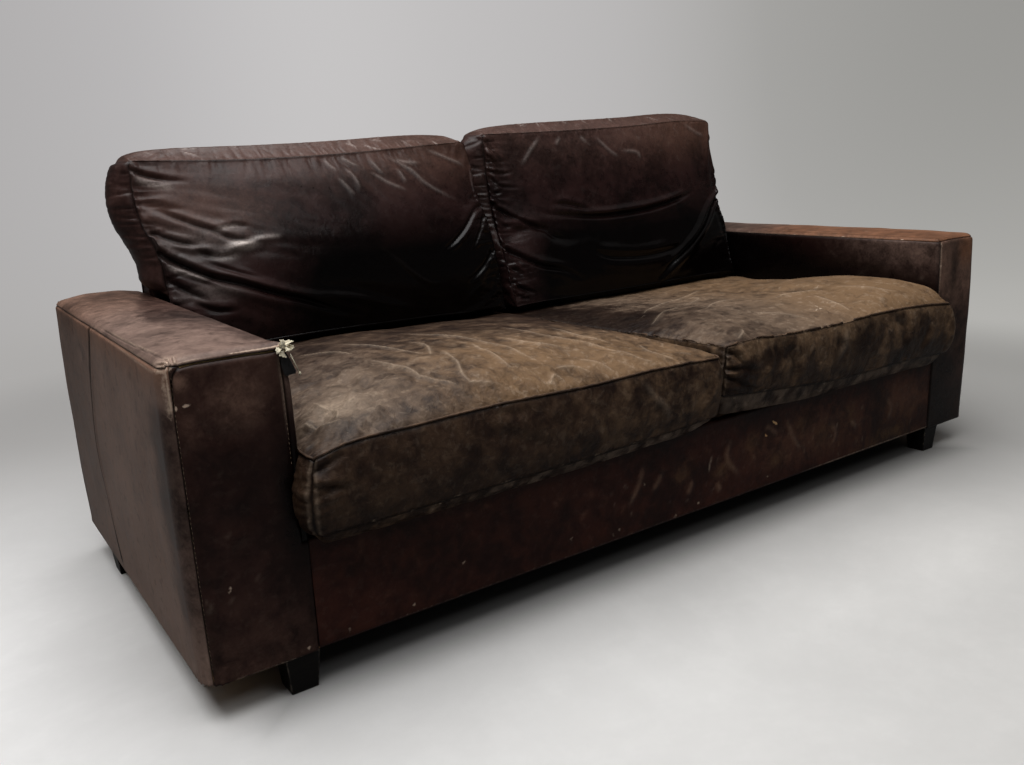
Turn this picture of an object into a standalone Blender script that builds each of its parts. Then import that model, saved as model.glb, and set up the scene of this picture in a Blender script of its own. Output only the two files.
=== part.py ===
"""A two-seat box-arm leather sofa with loose seat and back cushions, as a frame, padding and sewn covers.

Metres, +Z up. +X runs along the sofa towards the viewer's right as one faces it, and -Y is its front. The
origin is on the floor, at the centre of the whole sofa's footprint. Left and right are the viewer's.
"""

import math

import bmesh
import bpy
from mathutils import Matrix

# Overall sizes
WIDTH = 2.200
BODY_DEPTH = 0.905
ARM_WIDTH = 0.193
ARM_HEIGHT = 0.598
BACK_HEIGHT = 0.700
LEG_HEIGHT = 0.070
DECK_HEIGHT = 0.270
CUSHION_OVERHANG = 0.055
FRONT_CORNER_RADIUS = 0.035

# Stock thicknesses
GAP = 0.0003
LEATHER = 0.0025
BOARD = 0.004
BASE = 0.025
POST = 0.022
RAIL = 0.028
ARM_PAD = 0.018
BACK_PAD = 0.020
STRAP = 0.0015
CLOTH = 0.001

# The fixed back's front face leans back as it rises
RAKE_FOOT_Y = 0.3625
RAKE_FOOT_Z = 0.280
RAKE_TOP_Y = 0.4275

# Seat cushions
SEAT_TOP = 0.460
SEAT_REAR_Y = 0.360
SEAT_SIDE_CLEARANCE = 0.0015
SEAT_MIDDLE_CLEARANCE = 0.001
SEAT_BEVEL = 0.045

# Back cushions: the right one is plumper and stands higher than the left one
BACK_CUSHION_TOP = {"left": 0.925, "right": 0.965}
BACK_CUSHION_OUTER = {"left": 0.905, "right": 0.895}
BACK_CUSHION_INNER = 0.004
BACK_CUSHION_FOOT = 0.150
BACK_CUSHION_BELLY = 0.190
BACK_CUSHION_CROWN = 0.125
BACK_CUSHION_BEVEL = 0.035

# Legs and the bolts that hold them
LEG_TOP_SIDE = 0.060
LEG_FOOT_SIDE = 0.048
LEG_EDGE = 0.0015
LEG_INSET = 0.003
REAR_LEG_X = 1.062
REAR_LEG_Y = 0.3025
BOLT_RADIUS = 0.004
BOLT_START = 0.020
NUT_RADIUS = 0.0075
NUT_HEIGHT = 0.0065
BOLT_TIP = 0.005
BOLT_CLEARANCE = 0.0003

# Seat and back frame details
STRAP_WIDTH = 0.070
STRAP_PLACES = (0.15, 0.42, 0.69)
BORDER_DEPTH = 0.080
HEM_DEPTH = 0.030
CORNER_BLOCK = 0.070
CENTRE_RAIL_WIDTH = 0.025
CENTRE_RAIL_Z = (0.120, 0.2435)
BACK_POST_WIDTH = 0.035
BACK_TOP_RAIL_HEIGHT = 0.030
SIDE_POST_OUTER = 0.903
SEAT_HALF_CLOTH = 0.905

# Places worked out from the sizes above
DEPTH = BODY_DEPTH + CUSHION_OVERHANG
FRONT = -DEPTH / 2 + CUSHION_OVERHANG
BACK = DEPTH / 2
OUTER = WIDTH / 2
INNER = OUTER - ARM_WIDTH
SKIN = LEATHER + GAP
INSIDE_FRONT = FRONT + SKIN
INSIDE_BACK = BACK - SKIN
RAIL_END = INNER + SKIN - GAP
COVER_END = INNER - GAP
BORDER_LOW = DECK_HEIGHT - LEATHER
CLOTH_TOP = BORDER_LOW - GAP
STRAP_TOP = CLOTH_TOP - CLOTH - GAP
RAIL_TOP = STRAP_TOP - STRAP - GAP
RAIL_LOW = LEG_HEIGHT + LEATHER + GAP
COVER_FOOT_Z = DECK_HEIGHT + GAP
ARM_TOP_INSIDE = ARM_HEIGHT - SKIN
ARM_WOOD_TOP = ARM_TOP_INSIDE - ARM_PAD - GAP
BASE_TOP = LEG_HEIGHT + BASE
BACK_TOP_INSIDE = BACK_HEIGHT - SKIN
FRONT_LEG_X = INNER + LEG_TOP_SIDE / 2
FRONT_LEG_Y = FRONT + LEG_INSET + LEG_TOP_SIDE / 2

SIDES = {"left": -1, "right": 1}
CORNER_STEPS = 8

MATERIALS = {
    "oxblood_leather": ((0.050, 0.022, 0.020), 0.42, 0.0),
    "seat_leather": ((0.090, 0.062, 0.042), 0.60, 0.0),
    "timber": ((0.480, 0.330, 0.190), 0.70, 0.0),
    "fibreboard": ((0.240, 0.150, 0.085), 0.80, 0.0),
    "foam": ((0.620, 0.540, 0.340), 0.95, 0.0),
    "webbing": ((0.075, 0.065, 0.055), 0.85, 0.0),
    "lining_cloth": ((0.020, 0.020, 0.021), 0.95, 0.0),
    "black_wood": ((0.012, 0.010, 0.009), 0.45, 0.0),
    "zinc_steel": ((0.560, 0.570, 0.580), 0.35, 1.0),
}


def clear_scene():
    for obj in list(bpy.data.objects):
        bpy.data.objects.remove(obj, do_unlink=True)


def material(name):
    """The Principled material of that name, made on its first use."""
    found = bpy.data.materials.get(name)
    if found:
        return found
    colour, roughness, metallic = MATERIALS[name]
    made = bpy.data.materials.new(name)
    made.use_nodes = True
    shader = made.node_tree.nodes["Principled BSDF"]
    shader.inputs["Base Color"].default_value = (*colour, 1.0)
    shader.inputs["Roughness"].default_value = roughness
    shader.inputs["Metallic"].default_value = metallic
    return made


def add_object(name, mesh, finish):
    """Links a mesh as an object; each sub-part owns its copy of the material."""
    obj = bpy.data.objects.new(name, mesh)
    bpy.context.scene.collection.objects.link(obj)
    own = material(finish).copy()
    own.name = f"{name}_{finish}"
    mesh.materials.append(own)
    return obj


def prism(name, outline, axis, start, end, finish):
    """Extrudes a closed outline along an axis.

    The outline is in the other two axes, in X, Y, Z order.
    """
    bm = bmesh.new()
    places = {"X": lambda a, b: (start, a, b), "Y": lambda a, b: (a, start, b), "Z": lambda a, b: (a, b, start)}
    steps = {"X": (end - start, 0, 0), "Y": (0, end - start, 0), "Z": (0, 0, end - start)}
    face = bm.faces.new([bm.verts.new(places[axis](a, b)) for a, b in outline])
    grown = bmesh.ops.extrude_face_region(bm, geom=[face])
    moved = [item for item in grown["geom"] if isinstance(item, bmesh.types.BMVert)]
    bmesh.ops.translate(bm, verts=moved, vec=steps[axis])
    bmesh.ops.recalc_face_normals(bm, faces=bm.faces)
    mesh = bpy.data.meshes.new(name)
    bm.to_mesh(mesh)
    bm.free()
    return add_object(name, mesh, finish)


def box(name, low, high, finish):
    """A box between two corners, whose X values may come in either order."""
    x0, x1 = sorted((low[0], high[0]))
    outline = [(x0, low[1]), (x1, low[1]), (x1, high[1]), (x0, high[1])]
    return prism(name, outline, "Z", low[2], high[2], finish)


def tapered_block(name, centre, foot_side, top_side, height, finish):
    """A square leg, narrower at the floor, standing on z = 0."""
    bm = bmesh.new()
    bmesh.ops.create_cube(bm, size=1.0, matrix=Matrix.Translation((0, 0, 0.5)))
    for vert in bm.verts:
        side = top_side if vert.co.z > 0.5 else foot_side
        vert.co.x = centre[0] + vert.co.x * side
        vert.co.y = centre[1] + vert.co.y * side
        vert.co.z *= height
    mesh = bpy.data.meshes.new(name)
    bm.to_mesh(mesh)
    bm.free()
    return add_object(name, mesh, finish)


def turned(name, centre, profile, sides, finish):
    """Spins a profile of (radius, z) points, from axis to axis, about an upright line."""
    bm = bmesh.new()
    points = [bm.verts.new((radius, 0, z)) for radius, z in profile]
    edges = [bm.edges.new(pair) for pair in zip(points, points[1:])]
    bmesh.ops.spin(bm, geom=points + edges, axis=(0, 0, 1), cent=(0, 0, 0), steps=sides, angle=2 * math.pi)
    bmesh.ops.remove_doubles(bm, verts=bm.verts, dist=0.00001)
    bmesh.ops.recalc_face_normals(bm, faces=bm.faces)
    bmesh.ops.translate(bm, verts=bm.verts, vec=(centre[0], centre[1], 0))
    mesh = bpy.data.meshes.new(name)
    bm.to_mesh(mesh)
    bm.free()
    mesh.shade_smooth()
    mesh.set_sharp_from_angle(angle=math.radians(40))
    return add_object(name, mesh, finish)


def soften(obj, width, segments):
    """Rounds a block's edges."""
    bevel = obj.modifiers.new("rounded_edges", "BEVEL")
    bevel.width = width
    bevel.segments = segments
    bevel.limit_method = "ANGLE"
    bevel.angle_limit = math.radians(25)
    return obj


def drill(target, centre, radius, low, high):
    """Cuts an upright round hole with a hidden cutter."""
    profile = [(0, low), (radius, low), (radius, high), (0, high)]
    cutter = turned(f"cutter_{target.name}_{len(target.modifiers)}", centre, profile, 24, "zinc_steel")
    cutter.hide_render = True
    cutter.display_type = "WIRE"
    hole = target.modifiers.new("bolt_hole", "BOOLEAN")
    hole.operation = "DIFFERENCE"
    hole.solver = "EXACT"
    hole.object = cutter


def mirrored(side, outline):
    """An outline drawn for the right side, on the side asked for."""
    if side > 0:
        return outline
    return [(-x, y) for x, y in reversed(outline)]


def corner_arc(x, y, radius):
    """Points of the quarter turn from the arm's outer face round to its front."""
    turns = [math.radians(90 * step / CORNER_STEPS) for step in range(CORNER_STEPS + 1)]
    return [(x - radius + radius * math.cos(a), y + radius - radius * math.sin(a)) for a in turns]


def arm_plan(inset, inner=None):
    """Plan of the right arm, drawn in from its faces by inset, with its rounded outer front corner."""
    inner = INNER + inset if inner is None else inner
    rounded = corner_arc(OUTER - inset, FRONT + inset, FRONT_CORNER_RADIUS - inset)
    return [(inner, FRONT + inset), (inner, BACK - inset), (OUTER - inset, BACK - inset), *rounded]


def outer_skin_plan():
    """Plan of the right arm's outer leather: its flat side and the bend round to the front panel."""
    outside = corner_arc(OUTER, FRONT, FRONT_CORNER_RADIUS)
    inside = corner_arc(OUTER - LEATHER, FRONT + LEATHER, FRONT_CORNER_RADIUS - LEATHER)
    rear = BACK - LEATHER - GAP
    return [(OUTER, rear), *outside, *reversed(inside), (OUTER - LEATHER, rear)]


def rake_y(z):
    """Front face of the fixed back at a height."""
    slope = (RAKE_TOP_Y - RAKE_FOOT_Y) / (BACK_HEIGHT - RAKE_FOOT_Z)
    return RAKE_FOOT_Y + (z - RAKE_FOOT_Z) * slope


def make_arm_frame(name, side):
    """The box that one arm is built round."""
    board_in = (INNER + SKIN, INNER + SKIN + BOARD)
    board_out = (OUTER - SKIN - BOARD, OUTER - SKIN)
    wood = (board_in[1] + GAP, board_out[0] - GAP)
    foot = BASE_TOP + GAP
    rail_low = ARM_WOOD_TOP - RAIL
    base = prism(f"{name}_base_board", mirrored(side, arm_plan(SKIN)), "Z", LEG_HEIGHT, BASE_TOP, "timber")
    box(
        f"{name}_inner_board",
        (side * board_in[0], INSIDE_FRONT, foot),
        (side * board_in[1], INSIDE_BACK, ARM_WOOD_TOP),
        "fibreboard",
    )
    box(
        f"{name}_outer_board",
        (side * board_out[0], FRONT + FRONT_CORNER_RADIUS, foot),
        (side * board_out[1], INSIDE_BACK, ARM_WOOD_TOP),
        "fibreboard",
    )
    box(
        f"{name}_front_post",
        (side * wood[0], INSIDE_FRONT, foot),
        (side * (OUTER - FRONT_CORNER_RADIUS), INSIDE_FRONT + POST, rail_low - GAP),
        "timber",
    )
    box(
        f"{name}_rear_post",
        (side * wood[0], INSIDE_BACK - POST, foot),
        (side * wood[1], INSIDE_BACK, rail_low - GAP),
        "timber",
    )
    box(
        f"{name}_top_rail",
        (side * wood[0], FRONT + FRONT_CORNER_RADIUS, rail_low),
        (side * wood[1], INSIDE_BACK, ARM_WOOD_TOP),
        "timber",
    )
    prism(
        f"{name}_top_pad",
        mirrored(side, arm_plan(SKIN)),
        "Z",
        ARM_WOOD_TOP + GAP,
        ARM_TOP_INSIDE,
        "foam",
    )
    return base


def make_arm_leather(name, side):
    """The five sewn leather panels of one arm."""
    prism(
        f"{name}_leather_outer",
        mirrored(side, outer_skin_plan()),
        "Z",
        LEG_HEIGHT,
        ARM_TOP_INSIDE,
        "oxblood_leather",
    )
    box(
        f"{name}_leather_front",
        (side * INNER, FRONT, LEG_HEIGHT),
        (side * (OUTER - FRONT_CORNER_RADIUS - GAP), FRONT + LEATHER, ARM_TOP_INSIDE),
        "oxblood_leather",
    )
    prism(
        f"{name}_leather_top",
        mirrored(side, arm_plan(0.0)),
        "Z",
        ARM_HEIGHT - LEATHER,
        ARM_HEIGHT,
        "oxblood_leather",
    )
    box(
        f"{name}_leather_inner",
        (side * INNER, INSIDE_FRONT, COVER_FOOT_Z),
        (side * (INNER + LEATHER), INSIDE_BACK, ARM_TOP_INSIDE),
        "oxblood_leather",
    )
    box(
        f"{name}_leather_rear",
        (side * INNER, BACK - LEATHER, LEG_HEIGHT),
        (side * OUTER, BACK, ARM_TOP_INSIDE),
        "oxblood_leather",
    )


def make_leg(name, centre, base):
    """A leg, its bolt up through the arm's base board, and the holes for it."""
    leg = tapered_block(f"leg_{name}", centre, LEG_FOOT_SIDE, LEG_TOP_SIDE, LEG_HEIGHT - GAP, "black_wood")
    soften(leg, LEG_EDGE, 2)
    hole = BOLT_RADIUS + BOLT_CLEARANCE
    drill(leg, centre, hole, BOLT_START - GAP, LEG_HEIGHT + BASE)
    drill(base, centre, hole, LEG_HEIGHT - BASE, BASE_TOP + BASE)
    nut_low = BASE_TOP + GAP
    nut_high = nut_low + NUT_HEIGHT
    profile = [
        (0, BOLT_START),
        (BOLT_RADIUS, BOLT_START),
        (BOLT_RADIUS, nut_low),
        (NUT_RADIUS, nut_low),
        (NUT_RADIUS, nut_high),
        (BOLT_RADIUS, nut_high),
        (BOLT_RADIUS, nut_high + BOLT_TIP),
        (0, nut_high + BOLT_TIP),
    ]
    turned(f"leg_bolt_{name}", centre, profile, 18, "zinc_steel")


def make_corner_block(name, side, end):
    """A triangular block glued where a rail meets an arm; end is -1 at the front and 1 at the back."""
    wall = RAIL_END - GAP
    rail_face = INSIDE_FRONT + RAIL + GAP if end < 0 else INSIDE_BACK - RAIL - GAP
    tip = rail_face - end * CORNER_BLOCK
    outline = [(side * wall, rail_face), (side * (wall - CORNER_BLOCK), rail_face), (side * wall, tip)]
    prism(name, outline, "Z", RAIL_LOW, RAIL_TOP, "timber")


def make_seat_frame():
    """Rails between the arms, corner blocks, the webbing and cloth that carry the cushions, and the dust cover."""
    box("seat_front_rail", (-RAIL_END, INSIDE_FRONT, RAIL_LOW), (RAIL_END, INSIDE_FRONT + RAIL, RAIL_TOP), "timber")
    box("seat_back_rail", (-RAIL_END, INSIDE_BACK - RAIL, RAIL_LOW), (RAIL_END, INSIDE_BACK, RAIL_TOP), "timber")
    half = CENTRE_RAIL_WIDTH / 2
    box(
        "seat_centre_rail",
        (-half, INSIDE_FRONT + RAIL + GAP, CENTRE_RAIL_Z[0]),
        (half, INSIDE_BACK - RAIL - GAP, CENTRE_RAIL_Z[1]),
        "timber",
    )
    for side_name, side in SIDES.items():
        make_corner_block(f"corner_block_front_{side_name}", side, -1)
        make_corner_block(f"corner_block_rear_{side_name}", side, 1)
        for number, place in enumerate(STRAP_PLACES, 1):
            middle = side * place
            box(
                f"webbing_strap_{side_name}_{number}",
                (middle - STRAP_WIDTH / 2, INSIDE_FRONT, STRAP_TOP - STRAP),
                (middle + STRAP_WIDTH / 2, INSIDE_BACK, STRAP_TOP),
                "webbing",
            )
    box(
        "deck_cloth",
        (-SEAT_HALF_CLOTH, INSIDE_FRONT, CLOTH_TOP - CLOTH),
        (SEAT_HALF_CLOTH, rake_y(CLOTH_TOP), CLOTH_TOP),
        "lining_cloth",
    )
    box(
        "dust_cover",
        (-RAIL_END, FRONT + HEM_DEPTH + GAP, RAIL_LOW - GAP - CLOTH),
        (RAIL_END, INSIDE_BACK, RAIL_LOW - GAP),
        "lining_cloth",
    )


def make_front_cover():
    """Leather over the front rail: a border on the deck, the front and a hem turned under."""
    border = FRONT + BORDER_DEPTH
    hem = FRONT + HEM_DEPTH
    outline = [
        (FRONT, LEG_HEIGHT),
        (hem, LEG_HEIGHT),
        (hem, LEG_HEIGHT + LEATHER),
        (FRONT + LEATHER, LEG_HEIGHT + LEATHER),
        (FRONT + LEATHER, BORDER_LOW),
        (border, BORDER_LOW),
        (border, DECK_HEIGHT),
        (FRONT, DECK_HEIGHT),
    ]
    prism("front_rail_leather", outline, "X", -COVER_END, COVER_END, "oxblood_leather")


def make_back_frame():
    """The fixed back: raked posts on the back rail, their top rail and the foam in front of them."""
    foam_front = SKIN
    foam_rear = foam_front + BACK_PAD
    post_front = foam_rear + GAP
    post_low = RAIL_TOP + GAP
    rail_low = BACK_TOP_INSIDE - BACK_TOP_RAIL_HEIGHT
    post_high = rail_low - GAP
    outline = [
        (rake_y(post_low) + post_front, post_low),
        (INSIDE_BACK, post_low),
        (INSIDE_BACK, post_high),
        (rake_y(post_high) + post_front, post_high),
    ]
    side_place = SIDE_POST_OUTER - BACK_POST_WIDTH / 2
    for name, place in (("left", -side_place), ("centre", 0.0), ("right", side_place)):
        start = place - BACK_POST_WIDTH / 2
        prism(f"back_post_{name}", outline, "X", start, start + BACK_POST_WIDTH, "timber")
    outline = [
        (rake_y(rail_low) + post_front, rail_low),
        (INSIDE_BACK, rail_low),
        (INSIDE_BACK, BACK_TOP_INSIDE),
        (rake_y(BACK_TOP_INSIDE) + post_front, BACK_TOP_INSIDE),
    ]
    prism("back_top_rail", outline, "X", -SIDE_POST_OUTER, SIDE_POST_OUTER, "timber")
    outline = [
        (rake_y(COVER_FOOT_Z) + foam_front, COVER_FOOT_Z),
        (rake_y(COVER_FOOT_Z) + foam_rear, COVER_FOOT_Z),
        (rake_y(BACK_TOP_INSIDE) + foam_rear, BACK_TOP_INSIDE),
        (rake_y(BACK_TOP_INSIDE) + foam_front, BACK_TOP_INSIDE),
    ]
    prism("back_pad", outline, "X", -SIDE_POST_OUTER, SIDE_POST_OUTER, "foam")


def make_back_covers():
    """Leather of the fixed back: one sheet up its raked face and over its top, and one down its rear."""
    low = COVER_FOOT_Z
    high = BACK_HEIGHT
    outline = [
        (rake_y(low), low),
        (rake_y(low) + LEATHER, low),
        (rake_y(high - LEATHER) + LEATHER, high - LEATHER),
        (BACK, high - LEATHER),
        (BACK, high),
        (rake_y(high), high),
    ]
    prism("back_leather_inner", outline, "X", -COVER_END, COVER_END, "oxblood_leather")
    box(
        "back_leather_outer",
        (-COVER_END, BACK - LEATHER, LEG_HEIGHT),
        (COVER_END, BACK, BACK_TOP_INSIDE),
        "oxblood_leather",
    )


def make_seat_cushion(side_name, side):
    """A loose seat cushion that overhangs the front rail."""
    cushion = box(
        f"seat_cushion_{side_name}",
        (side * SEAT_MIDDLE_CLEARANCE, -DEPTH / 2, DECK_HEIGHT + GAP),
        (side * (INNER - SEAT_SIDE_CLEARANCE), SEAT_REAR_Y, SEAT_TOP),
        "seat_leather",
    )
    soften(cushion, SEAT_BEVEL, 4)


def make_back_cushion(side_name, side):
    """A loose back cushion that stands on the seat cushion and leans on the fixed back."""
    low = SEAT_TOP + GAP
    high = BACK_CUSHION_TOP[side_name]
    belly_low = low + 0.25 * (high - low)
    belly_high = low + 0.65 * (high - low)
    rear = [(rake_y(z) - GAP, z) for z in (low, high)]
    front = [
        (rake_y(high) - BACK_CUSHION_CROWN, high),
        (rake_y(belly_high) - BACK_CUSHION_BELLY, belly_high),
        (rake_y(belly_low) - BACK_CUSHION_BELLY, belly_low),
        (rake_y(low) - BACK_CUSHION_FOOT, low),
    ]
    start, end = sorted((side * BACK_CUSHION_INNER, side * BACK_CUSHION_OUTER[side_name]))
    cushion = prism(f"back_cushion_{side_name}", rear + front, "X", start, end, "oxblood_leather")
    soften(cushion, BACK_CUSHION_BEVEL, 4)


def make_sofa():
    clear_scene()
    make_seat_frame()
    make_front_cover()
    make_back_frame()
    make_back_covers()
    for side_name, side in SIDES.items():
        base = make_arm_frame(f"arm_{side_name}", side)
        make_arm_leather(f"arm_{side_name}", side)
        make_leg(f"front_{side_name}", (side * FRONT_LEG_X, FRONT_LEG_Y), base)
        make_leg(f"rear_{side_name}", (side * REAR_LEG_X, REAR_LEG_Y), base)
        make_seat_cushion(side_name, side)
        make_back_cushion(side_name, side)


make_sofa()
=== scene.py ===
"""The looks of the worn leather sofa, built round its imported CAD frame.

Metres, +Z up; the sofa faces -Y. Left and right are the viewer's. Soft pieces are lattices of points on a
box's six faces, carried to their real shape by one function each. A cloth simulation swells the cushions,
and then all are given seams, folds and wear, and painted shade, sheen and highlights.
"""

import math

import bpy
import numpy as np
from mathutils import Matrix, Vector


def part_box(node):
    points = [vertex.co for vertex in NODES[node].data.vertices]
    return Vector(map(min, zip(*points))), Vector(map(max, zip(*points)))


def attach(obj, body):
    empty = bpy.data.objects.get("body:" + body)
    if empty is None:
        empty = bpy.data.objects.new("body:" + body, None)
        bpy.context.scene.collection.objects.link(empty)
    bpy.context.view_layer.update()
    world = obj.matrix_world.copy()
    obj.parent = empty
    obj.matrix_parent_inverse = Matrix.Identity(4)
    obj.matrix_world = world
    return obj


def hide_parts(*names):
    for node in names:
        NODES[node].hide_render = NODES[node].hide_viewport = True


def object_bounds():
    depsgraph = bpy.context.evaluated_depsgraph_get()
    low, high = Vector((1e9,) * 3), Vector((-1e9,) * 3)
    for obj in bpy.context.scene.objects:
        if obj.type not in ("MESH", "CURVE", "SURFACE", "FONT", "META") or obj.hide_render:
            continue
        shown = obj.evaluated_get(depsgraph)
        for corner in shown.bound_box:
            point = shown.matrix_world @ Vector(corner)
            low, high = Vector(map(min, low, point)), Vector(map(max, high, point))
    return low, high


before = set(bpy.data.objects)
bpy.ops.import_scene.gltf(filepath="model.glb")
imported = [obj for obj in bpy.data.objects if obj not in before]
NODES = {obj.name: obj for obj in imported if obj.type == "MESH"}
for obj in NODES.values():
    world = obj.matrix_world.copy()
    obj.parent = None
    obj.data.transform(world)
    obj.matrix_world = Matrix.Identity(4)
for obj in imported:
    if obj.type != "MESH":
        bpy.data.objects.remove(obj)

CAD_LOW, CAD_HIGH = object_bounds()
SIDES = {"left": -1, "right": 1}

# Places read from the frame
ARM_LOW, ARM_HIGH = (np.array(corner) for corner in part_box("arm_right_leather_top"))
INNER = ARM_LOW[0]
OUTER = ARM_HIGH[0]
FRONT = ARM_LOW[1]
BACK = ARM_HIGH[1]
ARM_TOP = ARM_HIGH[2]
BODY_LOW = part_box("arm_right_leather_front")[0].z
RAIL_LOW, RAIL_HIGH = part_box("front_rail_leather")
DECK = RAIL_HIGH.z
BACK_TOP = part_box("back_leather_inner")[1].z


# ---------------------------------------------------------------- numbers and noise

TINY = 1e-6


def unit(v):
    return v / np.maximum(np.linalg.norm(v, axis=-1, keepdims=True), 1e-12)


def ramp(x, low, high):
    """A smooth step from 0 at low to 1 at high."""
    t = np.clip((x - low) / (high - low), 0, 1)
    return t * t * (3 - 2 * t)


def bump_at(x, middle, width):
    return np.exp(-(((x - middle) / width) ** 2))


def from_ends(share, size=1.0):
    """How far in a share is from the nearer end of a side of that size."""
    return np.minimum(share, 1 - share) * size


def points_in(text):
    """The points of a text such as "24,34 27,19"."""
    return np.array([point.split(",") for point in text.split()], float)


def through(x, curve):
    """A smooth curve read at x. Its text has a point's place in hundredths and its value in thousandths."""
    places, values = (points_in(curve) / (100, 1000)).T
    slopes = np.gradient(values, places)
    x = np.clip(x, places[0], places[-1])
    k = np.clip(np.searchsorted(places, x) - 1, 0, len(places) - 2)
    span = places[k + 1] - places[k]
    t = (x - places[k]) / span
    a = values[k] * (1 + 2 * t) * (1 - t) ** 2 + slopes[k] * span * t * (1 - t) ** 2
    b = values[k + 1] * t * t * (3 - 2 * t) + slopes[k + 1] * span * t * t * (t - 1)
    return a + b


def noise(points, size, seed):
    """Gradient noise in about -1 to 1, with cells of that size."""
    rng = np.random.default_rng(seed)
    order = rng.permutation(256)
    slopes = unit(rng.normal(size=(256, 3)))
    p = np.asarray(points, float) / size + rng.uniform(0, 90, 3)
    cell = np.floor(p).astype(int)
    f = p - cell
    fade = f * f * f * (f * (f * 6 - 15) + 10)
    total = np.zeros(len(p))
    for corner in np.ndindex(2, 2, 2):
        c = (cell + corner) & 255
        key = order[(order[(order[c[:, 0]] + c[:, 1]) & 255] + c[:, 2]) & 255]
        weight = np.prod(np.where(corner, fade, 1 - fade), axis=1)
        total += weight * np.einsum("ij,ij->i", slopes[key], f - corner)
    return total * 1.6


def fractal(points, size, octaves, seed):
    total = np.zeros(len(points))
    for k in range(octaves):
        total += noise(points, size / 2 ** k, seed + 17 * k) / 2 ** k
    return total


def spaced(length, cell, fine=()):
    """Shares 0 to 1 along a length, with fine steps (in metres) in from both ends."""
    ends = np.cumsum(fine) if len(fine) else np.array([])
    start = ends[-1] if len(fine) else 0.0
    count = max(2, int(round((length - 2 * start) / cell)))
    middle = np.linspace(start, length - start, count + 1)
    places = np.concatenate([[0.0], ends[:-1], middle, length - ends[:-1][::-1], [length]])
    return np.unique(np.round(places / length, 7))


# ---------------------------------------------------------------- lattices

class Lattice:
    """Points on the six faces of a box of shares (s, t, h): s runs along X, t from front to rear, h up."""

    def __init__(self, s_lines, t_lines, h_lines):
        self.lines = [np.asarray(lines, float) for lines in (s_lines, t_lines, h_lines)]
        shape = tuple(len(lines) for lines in self.lines)
        shell = np.zeros(shape, bool)
        for axis in range(3):
            for end in (0, -1):
                shell[tuple(end if a == axis else slice(None) for a in range(3))] = True
        self.index = np.full(shape, -1)
        self.index[shell] = np.arange(shell.sum())
        i, j, k = np.nonzero(shell)
        self.share = np.stack([self.lines[0][i], self.lines[1][j], self.lines[2][k]], axis=1)
        self.points = self.share.copy()
        self.quads, self.face_of = self.make_quads()

    def sheet(self, axis, end):
        """The two-way array of point numbers on one face."""
        return self.index[tuple((0 if end == 0 else -1) if a == axis else slice(None) for a in range(3))]

    def make_quads(self):
        quads, names = [], []
        for axis in range(3):
            for end in (0, 1):
                g = self.sheet(axis, end)
                q = np.stack([g[:-1, :-1], g[1:, :-1], g[1:, 1:], g[:-1, 1:]], axis=-1).reshape(-1, 4)
                outward = (axis == 1) == (end == 0)
                quads.append(q if outward else q[:, ::-1])
                names.append(np.full(len(q), axis * 2 + end))
        return np.concatenate(quads), np.concatenate(names)

    def normals(self):
        return normals_of(self.points, self.quads)

    def faces(self, coarse=()):
        """The faces as polygons. Those of the coarse (axis, end) sides take every second line inside."""
        kept = self.quads[~np.isin(self.face_of, [axis * 2 + end for axis, end in coarse])].tolist()
        for axis, end in coarse:
            flip = (axis == 1) != (end == 0)
            kept += [cell[::-1] if flip else cell for cell in wide_cells(self.sheet(axis, end))]
        return kept

    def finer(self):
        """A lattice with twice the lines, its points on smooth curves through these."""
        made = Lattice(*[refine(lines) for lines in self.lines])
        for axis in range(3):
            for end in (0, 1):
                grid = self.points[self.sheet(axis, end)]
                grid = refine(grid)
                grid = np.swapaxes(refine(np.swapaxes(grid, 0, 1)), 0, 1)
                made.points[made.sheet(axis, end)] = grid
        return made


def wide_cells(g):
    """Faces two steps wide over a two-way array of point numbers, with every point on its border."""
    rows, columns = g.shape
    cells = []
    for i in range(0, rows - 1, 2):
        for j in range(0, columns - 1, 2):
            far_i, far_j = min(i + 2, rows - 1), min(j + 2, columns - 1)
            sides = (g[i:far_i, j], g[far_i, j:far_j], g[far_i:i:-1, far_j], g[i, far_j:j:-1])
            on_border = (j == 0, far_i == rows - 1, far_j == columns - 1, i == 0)
            kept = [side if whole else side[:1] for side, whole in zip(sides, on_border)]
            cells.append([int(n) for side in kept for n in side])
    return cells


def refine(rows):
    """Puts a point between each two rows, on a cubic through their neighbours."""
    rows = np.asarray(rows, float)
    before = np.concatenate([rows[:1] * 2 - rows[1:2], rows[:-2]])
    after = np.concatenate([rows[2:], rows[-1:] * 2 - rows[-2:-1]])
    middle = (9 * (rows[:-1] + rows[1:]) - before - after) / 16
    made = np.empty((2 * len(rows) - 1,) + rows.shape[1:])
    made[::2] = rows
    made[1::2] = middle
    return made


def normals_of(points, quads):
    across = points[quads[:, 2]] - points[quads[:, 0]]
    along = points[quads[:, 3]] - points[quads[:, 1]]
    face = np.cross(across, along)
    total = np.zeros_like(points)
    for corner in range(4):
        for axis in range(3):
            total[:, axis] += np.bincount(quads[:, corner], face[:, axis], len(points))
    return unit(total)


def round_corner(offset, radius):
    """Carries offsets inside a square corner of that size onto a quarter disc."""
    size = np.abs(offset).max(axis=-1, keepdims=True)
    return unit(offset) * np.minimum(size, radius)


# ---------------------------------------------------------------- objects

def set_all(thing, **values):
    for name, value in values.items():
        setattr(thing, name, value)


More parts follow.
